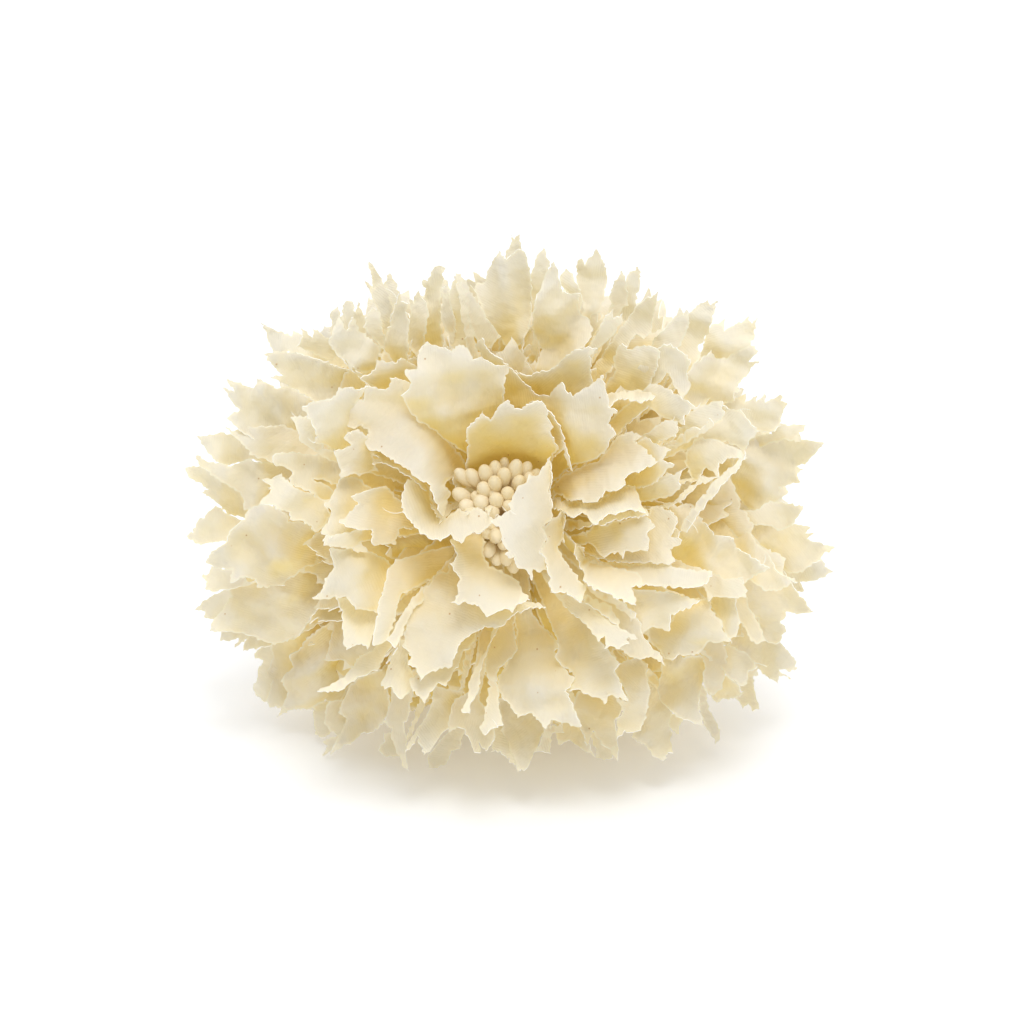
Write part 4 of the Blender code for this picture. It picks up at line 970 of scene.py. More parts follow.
# The rings of petals
# Nine gathered rings of the same cloth from the face round to the back, narrower and pointed, pinked with
# deep teeth like holly. Each is glued by its claws round the core and pushed about by hand, so that it folds
# and twists.
HALF_WIDTH = 61.5 * MM
HALF_DEPTH = 51 * MM
HALF_HEIGHT = 54 * MM
FIRST_TIP = math.radians(50)
TIP_STEP = math.radians(13.5)
RING_COUNT = 9
HUB_REACH = 8.5
HUB_HEIGHT = 5
HUB_CLAW = 1.5
ARCH = 1.5
FORWARD_RINGS = 5
PETAL_WIDTH = 17 * MM
TOOTH_DEPTH = 0.36
TOOTH_LEAN = 0.45
SHARPEST_FOLD = 0.6
SPINE_STATIONS = 28
LEVEL = 0.3
PRESS_HEIGHT = 3.2 * MM
LIFT_CLEAR = 0.05 * MM

# Each petal seen from in front: its ring, its outline (right, up from the core's centre, in mm), its tip
# (right, up, out of the face), how steeply it faces up or to the right, and how much it is dimpled
SEEN_PETALS = (
    (1, (-30.5, 10.8, -33.8, 10.9, -37.2, 11.5, -39.6, 11, -39.7, 9.6, -38.2, 9, -37, 8, -36.8, 6.2,
      -34.4, 4.9, -32.8, 4, -32.2, 2.9, -31, 1.6, -30.1, 2.8, -29.8, 4.2, -31.2, 5.7, -32.7, 6.5),
     (-39.1, 9.8, 35.3), 0.4, 0.6),
    (1, (-22.8, 14, -24.5, 15.9, -26.1, 15.6, -26.9, 14.5, -26.1, 13.2, -28.4, 12, -28.4, 10.6, -27.7, 8.8,
      -27.4, 7.5, -26.1, 8, -24.2, 7.9, -22, 8.6, -22.5, 11.3),
     (-27.7, 10.2, 37.5), 0.1, 0.6),
    (1, (-30.9, 3, -32.5, 3.9, -34.2, 4.7, -36.4, 5.8, -38.4, 7.4, -40, 6.9, -41, 6.8, -39.8, 5.2, -40.7, 4,
      -41.1, 2.8, -39.8, 2.7, -38.2, 1.8, -36.8, 0.9, -36.5, -0.2, -34.8, -0.6, -33.2, -1.3, -32.2, -2.3,
      -31.2, -2, -30.2, -0.6, -29.8, 0.8, -30.3, 1.9),
     (-40.9, 4.2, 39.9), 0.35, 0.9),
    (1, (-24.7, 16.6, -25.4, 20.3, -23.5, 23.4, -24.5, 23, -26.1, 23.4, -27.8, 23.2, -28.5, 22.1,
      -29.5, 21.4, -31.9, 21.1, -33.9, 19.8, -33.5, 18.9, -32.8, 17.6, -32.2, 16.2, -31.8, 14.7, -32.2, 13.6,
      -30.9, 13, -30, 12.3, -28.2, 11.7, -26.2, 13),
     (-33.8, 19.3, 40.5), -0.15, 0.9),
    (1, (-28.5, 11.9, -31, 12.5, -33, 17.5, -35, 18.2, -36.2, 17.8, -35.7, 16.6, -35.3, 15.1, -35.1, 13.8,
      -33.8, 12.4, -32.5, 11.6, -31, 10.5),
     (-36, 17.5, 37.9), -0.1, 0.6),
    (1, (-17.6, 3.2, -20.1, 5.6, -22.1, 5.6, -23.7, 5, -25.1, 4.2, -24.4, 3.3, -24.7, 2.3, -25.7, 1.3,
      -26.7, 0, -25.2, -0.9, -23.6, -1.5, -22.1, -1.8, -21.7, -3.1, -21, -4.2, -19.8, -4.3, -18, -4.3,
      -17.3, -2.1),
     (-26.4, 0.4, 43), 0.5, 0.7),
    (1, (-22.7, 5.2, -25.5, 7.1, -27.7, 7.1, -28.3, 6.3, -29, 4.8, -29.4, 3.6, -30, 2.7, -29.1, 1.5,
      -29.5, 0, -30.3, -1.9, -29.8, -2.4, -28.2, -3, -26.6, -3.4, -25.1, -3.4, -23.9, -2.6, -23.5, -0.3,
      -23.2, 2.3),
     (-30, -1.7, 40.5), 0.4, 0.7),
    (1, (-24.3, -1.8, -26.3, -2, -27.9, -2.2, -29.2, -2.5, -29.6, -3.3, -28.4, -4.3, -27, -4.4, -25.4, -4.8,
      -24.1, -5.6, -23, -5.4, -23.4, -4.1),
     (-29.3, -3.4, 43.7), 0.2, 0.4),
    (1, (-20.5, -22.1, -21.9, -23.7, -23.9, -24.8, -25.1, -26.7, -26.2, -28, -27.9, -29, -30.1, -30.4,
      -28.6, -30.5, -26.8, -30.3, -25.2, -29, -23.9, -28.1, -22.2, -27.6, -20.4, -26.5, -19.5, -24.5),
     (-30.1, -30.4, 39), 0.8, 0.2),
    (1, (-18.1, -9.3, -20.8, -6.8, -23.3, -5.6, -25.4, -5.1, -26.9, -5.2, -28.4, -5, -28.6, -6.3,
      -28.3, -8.2, -29, -9.5, -29.6, -11.3, -30, -12.5, -30.8, -13.1, -29.6, -13.7, -27.4, -13.6,
      -25.9, -13.5, -25, -14.6, -23.4, -15.4, -19.6, -16.3, -18.3, -14.4),
     (-30.3, -13.1, 45.6), 0.2, 1),
    (1, (-19.7, -14.6, -23, -14.4, -26.4, -14, -27.7, -14.3, -26.9, -16.3, -26.4, -19, -26.1, -21,
      -25.3, -22.3, -24, -21.9, -22.9, -21.6, -21.9, -22, -21.3, -21.2, -20.8, -18.7, -20.3, -16.6),
     (-25.2, -22.2, 42.5), 0.1, 0.7),
    (1, (-17.7, -7.2, -18.5, -8.1, -19.1, -10.4, -19.6, -13.6, -19.8, -15.6, -20, -18.5, -20, -20.7,
      -18.8, -20.8, -17.9, -20.4, -17.4, -18, -16.9, -15.5, -16.2, -13.1),
     (-19.4, -20.7, 47.2), -0.6, 0.2),
    (1, (-14.4, -13.9, -16, -16.7, -17, -18.6, -17.6, -20, -16.3, -21.2, -15.7, -20.3, -15.1, -17.9,
      -13.8, -15.3),
     (-17.3, -20.2, 47.1), -0.4, 0.2),
    (1, (-14.7, -21.7, -16.6, -21.6, -17, -23, -17.9, -24.3, -18.4, -26.2, -19.1, -27.8, -19.4, -28.8,
      -18.7, -29.3, -17.6, -29.3, -17.2, -30.1, -15.9, -31, -14.3, -29.9, -13.8, -28.2, -14.7, -25.8,
      -14.9, -24),
     (-18.1, -29.8, 40.8), 0.1, 0.4),
    (1, (-3.5, -21.4, -4.2, -22.7, -5.5, -23.6, -6.2, -25.7, -7.2, -27.6, -8, -28.6, -9.2, -28.3,
      -10.5, -29.9, -11.4, -31.1, -12.5, -30.5, -13.5, -29.5, -14.1, -27.9, -12.8, -26.6, -9.5, -23.1),
     (-11.4, -30.8, 43.8), 0.4, 0.7),
    (1, (-6.9, -31.4, -10.9, -30.8, -11.4, -33.7, -12.4, -36.1, -13.8, -38.4, -15.1, -40.4, -15.4, -41.6,
      -14.4, -40.8, -13.6, -39.7, -13, -40.7, -12.2, -42.1, -10.8, -41.2, -10.1, -40.2, -9.1, -38.8,
      -7.9, -37.7, -6.7, -35.2),
     (-14.9, -41.1, 30.6), 0.1, 0.7),
    (1, (-4.7, -31.3, -7.3, -33, -8, -35.6, -7.8, -38, -6.6, -37.6, -5.5, -38.1, -4.6, -39.1, -4, -40.3,
      -3.2, -41.7, -2.3, -41.7, -2.4, -40.5, -1.3, -41.2, -0.3, -40.3, 0.2, -38.6, -0.9, -35.5, -2.8, -33),
     (-2.8, -41.7, 30.3), 0.2, 0.7),
    (1, (-0.3, -19.1, -0.8, -21.4, -1.4, -23, -2.3, -24.6, -3, -26.3, -3.8, -27.9, -3.8, -29.5, -3.8, -30.7,
      -4.4, -32, -4.5, -32.8, -3.6, -32.7, -3.4, -31.8, -2.9, -31, -2.1, -29.4, -2, -27, -1.7, -24.9,
      -1, -23, -0.5, -21.4, 0.4, -19.4),
     (-4.2, -32.8, 43.3), -0.6, 0.1),
    (1, (2.9, -17.1, 3.1, -20, 3.5, -21.6, 3.8, -23.1, 3, -24.6, 2, -25.5, 1.1, -26.3, 0.7, -27.8,
      1.1, -30.4, 1.7, -33.1, 2.1, -35.1, 0.5, -35.9, -0.7, -36.8, -1.4, -36, -1, -33.3, -0.7, -30.5,
      -0.6, -29.4, -1.4, -26.8, -1.5, -23.6, -0.8, -21.1, -0.3, -18.9),
     (-0.8, -36.6, 40.4), -0.5, 0.5),
    (1, (6.2, -17.1, 7.7, -19.2, 9.7, -21.2, 11.4, -22.3, 10.9, -23.5, 11.4, -24.8, 12.5, -26.1, 14.3, -27.5,
      13.3, -29.6, 14.4, -32, 15.4, -34.1, 15.8, -35.4, 15.5, -35.7, 13, -35.4, 10.8, -35, 9.8, -36,
      6.9, -33.7, 4.8, -34.3, 1.9, -31.5, 0.8, -29.9, 0.7, -28.1, 2.8, -24.9, 3.6, -23.2, 3.2, -20.2,
      2.8, -17.6),
     (12.8, -35.5, 38.9), 0.1, 1.2),
    (1, (14, -15.8, 16.4, -18.5, 18.9, -21, 20.2, -22, 21.4, -23.3, 22.3, -24.4, 21.9, -25.7, 23.4, -28.3,
      24.2, -30.3, 22.4, -30.1, 21.5, -29.7, 20.8, -30.1, 20.3, -30.9, 19.4, -30.3, 18.1, -30.1, 16.8, -29.7,
      15.4, -29.3, 13.4, -29.5, 14.3, -27.3, 12.6, -25.9, 11.4, -24.7, 11, -23.4, 11.4, -22.2, 9.9, -19),
     (22.6, -30.1, 39.9), 0.1, 1),
    (1, (25.8, -24.2, 23.7, -25.2, 21.9, -26.1, 21.4, -27.4, 23, -29.7, 23.8, -32.1, 22.3, -32.2, 23, -34,
      22.1, -35.9, 22.4, -38.5, 23.6, -37.6, 25.1, -37.7, 26.3, -37.1, 27.2, -35, 27.6, -32.8, 27.9, -30.2,
      27.4, -28.1, 26.8, -25.9),
     (23.1, -38.3, 29.4), 0.1, 0.8),
    (1, (26.1, -16.9, 26.3, -18.6, 27.1, -19.9, 28.4, -21.1, 29.9, -22.1, 30.3, -23.4, 29, -22.9,
      27.7, -22.9, 26.3, -23.2, 24.5, -22.9, 22.6, -21.7, 21.1, -20.5, 20.2, -18.1),
     (30.1, -23.3, 41.6), -0.2, 0.8),
    (1, (24.9, -11.2, 28.6, -11.1, 31, -11.4, 33.1, -11.8, 36.2, -12.2, 35, -13.4, 33.2, -14.3, 31.8, -15.2,
      31.5, -16.4, 31.1, -17.9, 29.7, -17.9, 28.2, -17.7, 26.3, -18.8, 24.2, -16.9, 23.2, -14.4),
     (35.8, -12.4, 42.8), -0.2, 0.8),
    (1, (34.7, -13.4, 38.1, -13.2, 38.5, -14.6, 39.4, -15.7, 40.4, -16.7, 40.9, -18.2, 41.9, -19.8,
      40.3, -20.2, 38, -20.7, 37.5, -21.4, 36.8, -22.5, 35, -22.8, 33.2, -22.9, 31.8, -23.7, 30.6, -23.5,
      29.2, -22.4, 27.4, -20.8, 28, -18.2, 30.9, -18, 31.5, -15.7),
     (41.4, -19.8, 34.8), 0.3, 1.1),
    (1, (40, -11.5, 38.4, -12.9, 38.5, -14.8, 39.4, -15.8, 40.3, -16.9, 40.9, -18.4, 41.9, -20.1,
      43.3, -18.6, 43.7, -16.5, 42.9, -14.1, 42.4, -12.4),
     (41.9, -20.1, 32.2), 0.1, 0.6),
    (1, (34.2, 3.4, 35.5, 2.3, 36.8, 0.9, 37.8, -0.3, 38.7, -1.5, 40.7, -1.7, 42.1, -2.1, 42.7, -3.7,
      44.3, -4.5, 46.5, -5.6, 48.3, -6.9, 46.7, -8.2, 45.3, -9.2, 43.9, -10.3, 41.8, -11, 39.1, -10.6,
      36.3, -9),
     (48.1, -6.9, 34.1), -0.15, 1.2),
    (1, (36.4, -9.6, 37.4, -11.3, 38.1, -12.9, 38.8, -12.4, 40.4, -12.1, 42.4, -12.1, 44.5, -11.8,
      44.5, -10.5, 43.9, -9.1, 40.9, -9),
     (44, -11.2, 35.1), 0.4, 0.4),
    (1, (32, -1.9, 33.4, 1.2, 35.3, 4, 37, 6.3, 38.2, 8.1, 39.2, 9.1, 40.9, 10.6, 42.7, 12.1, 43.7, 13.4,
      43.4, 12, 42.4, 10.5, 41, 9.2, 40, 7.9, 38.8, 6.3, 37.1, 4, 35.3, 1.6, 33.8, -0.6),
     (43.5, 13, 38.9), 0.6, 0.1),
    (1, (36.2, 17, 37.7, 17.8, 39.2, 19.1, 39.9, 20.6, 39.5, 21.6, 41, 21, 43.1, 20.6, 44.2, 19.2,
      45.9, 17.4, 44.7, 15.7, 43.8, 13.9, 43.7, 12.6, 42.7, 14.3, 41.1, 15, 39.3, 15.2, 37.5, 15.3),
     (45, 16.2, 33.2), 0.2, 0.9),
    (1, (32.7, 18.2, 32.9, 19.4, 33.7, 20.5, 35.1, 21.1, 36.6, 21.8, 38, 22.4, 39.4, 22.4, 39.6, 21.6,
      40, 20.6, 39.3, 19.5, 37.7, 18.1, 36.3, 17.1, 34.9, 17.4),
     (39.4, 22.1, 36.1), 0.4, 0.6),
    (1, (15.7, 31.7, 17.5, 34.8, 18.6, 37, 19.7, 37.8, 20, 36.9, 21.3, 37.2, 21.4, 36.4, 19.7, 33.6,
      17.5, 31.4),
     (19.8, 37.6, 32.7), -0.4, 0.4),
    (1, (-8.3, 44, -7.3, 43.5, -6.3, 42.1, -5.2, 39.7, -3.9, 37.4, -2.5, 35.1, -1.1, 32.7, -2.5, 30.7,
      -4.3, 30.5, -5.7, 33.8, -6.5, 37.7, -7.1, 40.6, -7.8, 42.6),
     (-8.1, 43.8, 31), 0.4, 0.1),
    (1, (-9.7, 30, -9.8, 35.5, -9.6, 39.1, -9.4, 41.2, -8.8, 42.7, -7.9, 43.3, -7.2, 41.8, -6.9, 39.1,
      -6.6, 35.5, -5.6, 30.1),
     (-8.1, 43.1, 29), 0, 0.5),
    (1, (-11.1, 35.4, -11, 39.1, -10.8, 41.2, -10.1, 42.3, -9.7, 41.2, -9.8, 39.4, -9.3, 37.6, -8.6, 35.5,
      -9, 31.8, -9.9, 30, -10.6, 30.3, -10.9, 32.7),
     (-10.1, 42.1, 28.8), 0, 0.3),
    (1, (-23, 27.2, -22.5, 29.8, -21.4, 31.8, -20.6, 33.8, -20, 36.2, -19, 38.4, -18.3, 40.2, -18.1, 38.8,
      -17.3, 38.2, -17.5, 36.8, -17, 35, -16.9, 31.7, -17, 27.7),
     (-18.3, 40, 30.7), -0.2, 0.7),
    (1, (-22.9, 23.5, -24.6, 25, -24, 25.5, -23, 25.9, -22.3, 27, -21.8, 27.9, -19.7, 27.9, -18.5, 28.1,
      -17.7, 28.6, -16.3, 28.1, -15.3, 27.2, -14.6, 25.6, -15.5, 23.9),
     (-20.6, 27.9, 32.2), 0.2, 0.6),
    (1, (-26.8, 22, -29.4, 22.5, -28.7, 25.1, -27.9, 26, -25.8, 26.6, -23.3, 27, -21.9, 26.1, -22.3, 24.3,
      -24.1, 22.4),
     (-27.6, 26, 25.4), -0.2, 0.4),
    (1, (-29.9, 30, -30.3, 31.4, -29.9, 32.5, -29.7, 33.9, -29.2, 35.2, -28.7, 35.6, -28.1, 34.3, -27.6, 34,
      -27, 35, -26.5, 35.4, -25.9, 34.3, -25.2, 33.1, -24.2, 32.4, -23, 31.6, -22, 30.4, -22.3, 28.4,
      -22.5, 26.6, -24.4, 25.9, -26.7, 26.6, -28.2, 28.4),
     (-27.6, 35.4, 32), 0.35, 1.1),
    (1, (-24.8, 34.1, -23.9, 36.5, -23.2, 37.2, -22.2, 36.7, -21.8, 35.2, -21.5, 33.4, -21.2, 31.3,
      -21.9, 29.5, -23.4, 30.2, -24.4, 31.6),
     (-23.2, 37.2, 29.6), 0.2, 0.5),
    (1, (34.2, 8.6, 33.4, 10.8, 33.3, 12.6, 34, 14, 34.9, 15.3, 36.3, 15.9, 37.9, 15.8, 39.4, 15.4,
      41.2, 14.8, 42.6, 14.1, 43.7, 12.9, 42.5, 12.5, 41.1, 12.6, 39.5, 11.4, 39.2, 10.3, 39.4, 9.1,
      38.3, 10.1, 37.2, 10.5, 36.3, 9.8, 36, 8.5),
     (43.3, 13.1, 37), 0.5, 0.9),
    (1, (26, 15.5, 27.9, 14.6, 29.2, 14.4, 30.3, 13.7, 29.4, 12.1, 30.3, 11.8, 31.2, 11.3, 30.2, 10.2,
      29.1, 9, 28.1, 7.7, 26.3, 6.8),
     (31, 11.3, 36.7), 0.3, 0.5),
    (1, (28, 7.8, 29.3, 8.8, 30.2, 9.6, 31.2, 9.5, 32.5, 9.9, 32.3, 8.7, 32.7, 7.6, 32.4, 6.9, 30.8, 5.5,
      28.6, 4.6),
     (32.5, 9.6, 36.3), 0.2, 0.5),
    (1, (28.1, 2.8, 29.9, 4, 31.8, 4.7, 33.2, 6.2, 34.3, 7.2, 35.5, 8.1, 36.5, 9.1, 38.9, 9.2, 37.5, 8.4,
      35.5, 7.4, 34.3, 6.3, 33.1, 5, 31.5, 3.8, 29.5, 2.9),
     (38.5, 9, 36.8), 0.6, 0.1),
    (1, (31.6, 14.9, 31.7, 15.9, 33.1, 16.9, 34.6, 17.7, 35.8, 17.6, 36.9, 18.5, 37.4, 19.5, 38.1, 18.6,
      36.5, 16.9, 34.6, 15.8, 33.3, 14.9),
     (37.6, 19.1, 37.1), -0.5, 0.2),
    (1, (26.6, 24.9, 27.5, 25.3, 28.8, 24.8, 29.9, 24.4, 31.2, 23.7, 32.7, 22.9, 34.9, 21.5, 34, 20.7,
      32.9, 19.6, 32.8, 18.6, 31.3, 18.8, 28.6, 19.5, 26.4, 20.8),
     (34.7, 21.3, 37), 0.5, 0.7),
    (1, (26.5, 16.6, 28.1, 17.8, 29.6, 18.9, 31.5, 18.7, 31.8, 17.3, 31.4, 16.2, 30.2, 15.7, 28.7, 15.1,
      27.3, 13.7),
     (31.7, 17.6, 35.4), 0.2, 0.5),
    (1, (27.3, 31.1, 29.7, 32.2, 31.8, 31.3, 33.7, 29.4, 33, 27.2, 33.9, 25.1, 32.5, 23.2, 31.1, 24.4,
      29.8, 26.7),
     (33.7, 26, 30.9), 0.1, 0.8),
    (2, (-35.3, 20.4, -37.4, 21.3, -39.2, 22.2, -40.3, 22.5, -41.7, 22.1, -43.2, 23, -44.2, 23.4,
      -45.1, 23.9, -45.3, 22.8, -45.8, 22.3, -46.8, 22.4, -48.1, 22.8, -50.2, 23.5, -49.1, 21.7, -50.7, 21.9,
      -49.8, 19.9, -48.6, 18.1, -50, 16.6, -48.5, 15.2, -47.3, 14.1, -45, 12.7, -42.1, 12.5, -39.4, 13.5,
      -36.4, 14.9),
     (-50.2, 21.3, 21.6), 0.25, 1.2),
    (2, (-37.2, 14.2, -40.2, 15.5, -46.9, 14.9, -48.5, 14.5, -49.3, 14.5, -50.6, 15.4, -49.1, 13.6,
      -47.7, 12.5, -45.7, 10.4, -43.8, 9.5, -41.4, 8.4, -39.8, 8.1, -38.4, 7.3, -36.2, 8.8),
     (-50.2, 14.8, 22.8), 0.2, 0.8),
    (2, (-31.3, -9, -33.4, -9.2, -34.1, -8.3, -34, -6.6, -33.4, -5.3, -33.8, -3.5, -34.9, -2.6, -36.6, -1.8,
      -38.4, -1.6, -38.9, -0.3, -40.1, 0.4, -41.9, 1.3, -43.3, 1.5, -44.5, 0.8, -46, -0.1, -46.6, -1.4,
      -47.9, -2.5, -48.8, -3.4, -49.2, -4.7, -49.5, -5.8, -50.9, -6.6, -52.3, -7.5, -52.8, -8.6, -53.2, -9.5,
      -52.1, -10.4, -50.2, -10.6, -48.5, -10.8, -48.3, -12.6, -46.6, -12.1, -45.3, -11.9, -44.1, -12.7,
      -43.9, -13.8, -41.8, -13.8, -39.4, -13.6, -39, -12.7, -37.4, -11.6, -35.7, -10.5),
     (-53, -9, 26.4), -0.2, 1.3),
    (2, (-16.1, -29.4, -18.3, -30.7, -19.8, -32.2, -19.8, -34.3, -20.3, -36.8, -20.7, -38.8, -19.5, -39.7,
      -19.2, -41.6, -18.3, -43.3, -17.3, -44.5, -16.8, -45.7, -15.8, -46.3, -16.3, -44.3, -16.3, -41.3,
      -16.9, -38.3, -16.2, -37, -16, -34.9, -15.5, -32.2),
     (-16, -46.1, 23.9), 0.7, 0.3),
    (2, (4.2, -33.3, 0.6, -33.4, 1, -37.4, 1.4, -39.4, 2.8, -41.7, 3.8, -43.7, 4.6, -45.3, 5.8, -44.9,
      6.5, -44.1, 7, -43, 7.6, -41.4, 8.4, -39.5, 9.5, -38.8, 10.1, -36.7, 8.7, -34.1),
     (4.6, -45.3, 26.5), 0.2, 0.8),
    (2, (1.4, -33.4, 0, -33.8, 0.2, -37.2, -0.6, -38.8, -0.4, -40.3, -0.4, -42.2, 1, -42.4, 2.3, -43.5,
      3.4, -44.4, 4.3, -45.3, 3.5, -42.5, 2.3, -39.5, 2.1, -36.6),
     (3.9, -45, 25), 0.5, 0.3),
    (2, (11.7, -37.3, 9, -38, 8.5, -40.1, 7.5, -41.9, 8.8, -42.1, 9.9, -42.1, 10, -40.9, 10.3, -39.1,
      12.1, -38.5),
     (9.7, -42.1, 25.9), 0, 0.4),
    (2, (14.2, -36, 11.8, -37.5, 10.7, -39.3, 11.3, -41.3, 12.3, -41.2, 13.4, -40.8, 14.9, -41.7,
      16.2, -42.5, 17.5, -42.8, 17.1, -41.2, 16.5, -39.4, 15.5, -37.2),
     (16.8, -42.8, 21.7), -0.3, 0.4),
    (2, (17.7, -30.8, 14.7, -31.6, 14, -33.1, 13.9, -34.5, 14.9, -36.9, 15.9, -39.1, 16.7, -40.3,
      17.7, -38.9, 19, -40.2, 20.1, -41.2, 20.9, -41.7, 21.4, -42.6, 22, -42.9, 22.3, -41.2, 22, -38.6,
      21.7, -36.3, 22.8, -34.5, 21.8, -31.9),
     (22, -42.7, 25.3), 0.2, 0.9),
    (2, (18.7, -38.5, 16.9, -40.1, 17.9, -42.2, 18.3, -43.9, 19.6, -44, 20.7, -43.9, 21.2, -42.7, 21, -40.5),
     (19.9, -43.9, 18.6), -0.3, 0.4),
    (2, (30.7, -24.2, 29.7, -26, 29.6, -28.3, 29, -31, 29.9, -33.1, 32.4, -34.9, 33.8, -35.8, 35.7, -36.4,
      37.3, -36.7, 37.1, -35.3, 36.6, -32.9, 36.8, -30.7, 37.1, -29.5, 38.1, -28.1, 38.6, -26.8, 39.5, -25.7,
      38, -25, 36.6, -24.6, 33.3, -24.7),
     (36.9, -36.6, 21.7), 0.2, 1),
    (2, (34.1, -35, 31.6, -35.9, 31.3, -37.7, 32.2, -38.7, 32.9, -38.7, 33.3, -37.2, 33.8, -36.1),
     (32.8, -38.7, 18.9), 0, 0.4),
    (2, (40.8, -12, 42.7, -13.5, 42.3, -14.9, 43.3, -17.2, 44.8, -19.2, 45.9, -20.9, 47, -21.2, 48.1, -20.6,
      47.1, -18, 46, -16.3, 45.1, -15, 44.5, -13.3),
     (47.9, -20.6, 24.3), 0.3, 0.6),
    (2, (36.8, 2.4, 38.6, 2.1, 39.9, 0.9, 41.4, -0.1, 43.6, -0.7, 45.3, -1.9, 46.4, -3.4, 48, -4.6, 49, -6.3,
      50.4, -8.2, 52.5, -10, 50.7, -11.5, 48, -11.6, 45.3, -10, 42.5, -6.6),
     (52.1, -10.2, 26.3), 0.2, 0.9),
    (2, (35.9, 2.8, 38.5, 6, 40.8, 7.9, 42.7, 4.9, 43.3, 2.6, 44.6, 1.2, 45.6, -0.2, 45.4, -1.8, 46.4, -3.2,
      48, -4.5, 49.8, -5.3, 51.3, -6.4, 51.2, -8.5, 53.4, -10, 50.7, -9.9, 47, -6.6, 41.4, -1.5),
     (53, -9.8, 24.1), 0.1, 0.9),
    (2, (45.9, 2.2, 48.5, 3.8, 51.2, 3.7, 53.4, 3.6, 54.3, 3.3, 54, 2.2, 53.3, 1.1, 52.8, 0, 50.5, -1.2,
      47.7, -0.4),
     (54.1, 3.1, 21), -0.1, 0.8),
    (2, (33.1, 26.9, 34.2, 28.4, 35.4, 29.5, 37.2, 30.6, 38.3, 29.6, 39.9, 29.6, 42, 30.8, 44.2, 31.9,
      45.6, 31.2, 44.9, 30.1, 44.4, 29.2, 45.5, 29.1, 44.5, 28, 44.1, 26.9, 42.7, 25.7, 42.2, 24.4,
      42.4, 23.9, 41.5, 23.3, 41.4, 22.2, 39.2, 21.4, 37.6, 21.9, 36, 20.9, 34.5, 20.5, 32.1, 22.1,
      31.7, 24.5),
     (45.1, 29.8, 21.2), -0.1, 1.3),
    (2, (26.6, 31.7, 27.4, 33.4, 28.9, 34.8, 30.1, 36.3, 31, 37.6, 31.5, 38.3, 32.1, 37.6, 32.4, 38.4,
      33, 37.7, 33, 35.5, 31.6, 31.9, 29, 30),
     (32, 38.4, 24.1), 0.1, 0.8),
    (2, (22.1, 36.4, 23.7, 38.8, 24.6, 39.6, 25.7, 40.3, 26.4, 40.5, 27.3, 41.1, 27.1, 39.4, 26.8, 38,
      26.6, 36.5, 26.3, 35.1, 26.1, 34.2, 24.9, 33.2, 23.6, 33.4),
     (27.3, 40.9, 22.5), 0, 0.7),
    (2, (21.3, 43.2, 22, 44.3, 22.5, 44.9, 23.1, 45, 23.6, 45.4, 24, 44.7, 24, 42.9, 23.7, 41.1, 23.4, 38.7,
      22.9, 36, 21.6, 35, 20.3, 36.8, 20.8, 40.5),
     (23.6, 45.4, 18.4), 0, 0.8),
    (2, (19.1, 38.7, 18.7, 39.9, 18.9, 41.4, 19.6, 43, 20.3, 44.1, 20.8, 44.5, 21.4, 43.6, 21.8, 41.4,
      21.8, 38.7, 20.6, 37.4),
     (20.6, 44.3, 20.6), -0.1, 0.4),
    (2, (12, 39.4, 10.1, 42.1, 9.8, 43.7, 10.5, 44.5, 10.8, 44.8, 11.6, 44.3, 12.1, 43.2, 12.7, 42.5,
      13.6, 40.9, 13.8, 39.1),
     (10.8, 44.8, 23), 0, 0.3),
    (2, (6.4, 30.3, 4.9, 33, 5.1, 36.6, 5.8, 39.7, 6.7, 42.1, 7.4, 43.9, 8.2, 45.2, 8.9, 46.1, 9.6, 44.5,
      10, 42.9, 10.5, 41.1, 12, 40.6, 13.4, 40.6, 13.2, 38.7, 13.6, 37, 15, 36, 15.8, 34.5, 15.6, 33.1,
      14.2, 31, 11.8, 29.1, 9.1, 27.1),
     (9.2, 45.8, 27), 0, 1.2),
    (2, (6, 37.4, 4.4, 39.2, 4.3, 43.7, 4.7, 45.4, 5.4, 47.2, 6.1, 47.9, 6.5, 48.3, 7, 47.2, 7.6, 46.2,
      7.8, 44.7, 7.1, 42, 6.9, 39.3),
     (6.5, 48.3, 20.2), 0, 0.6),
    (2, (2.5, 31, 0.2, 30.4, -1.7, 32.7, -3.3, 35.4, -4.7, 38.1, -5.3, 39.9, -5.5, 41.9, -4, 42.3,
      -3.5, 44.1, -2.4, 46, -1.1, 47.6, 0, 46.7, 1, 47.5, 2.3, 48.2, 3.2, 47.9, 3.9, 46.1, 4.3, 43.8,
      4.5, 39.2, 4.2, 34.1, 3.3, 31.9),
     (2.1, 48.2, 22.9), 0, 1.2),
    (2, (-17.1, 27.5, -16.9, 30.6, -16.5, 33, -15.9, 35.2, -15.2, 36.7, -14.4, 38, -14.4, 39.8, -14.2, 41.1,
      -14.6, 41.8, -14.4, 42.5, -13.9, 42.5, -13.3, 43.8, -12.8, 44.5, -12.2, 45.1, -11.5, 45.1, -11, 44.7,
      -11.3, 43.8, -11, 42.8, -11.2, 41.5, -11.5, 38.9, -11.8, 35.3, -11.6, 32.6, -10.9, 29.5),
     (-11.7, 45.1, 25.3), 0, 0.9),
    (2, (-17.3, 30.7, -17.2, 34.4, -16.8, 37.1, -16.8, 39.1, -16.3, 38.7, -16.1, 39.6, -15.4, 40.4,
      -14.9, 39.5, -14.3, 38.8, -13.6, 36.8, -14.1, 32.6, -15.2, 28.9, -17, 28),
     (-15.4, 40.4, 27.4), 0, 0.5),
    (2, (-20.8, 37.2, -21.5, 39.5, -22.2, 41.5, -21.8, 42.6, -21.3, 43.4, -20.8, 42.6, -20, 41.6,
      -19.5, 40.3, -19.3, 38.7, -19.7, 36.9),
     (-21.3, 43.4, 20.7), 0, 0.4),
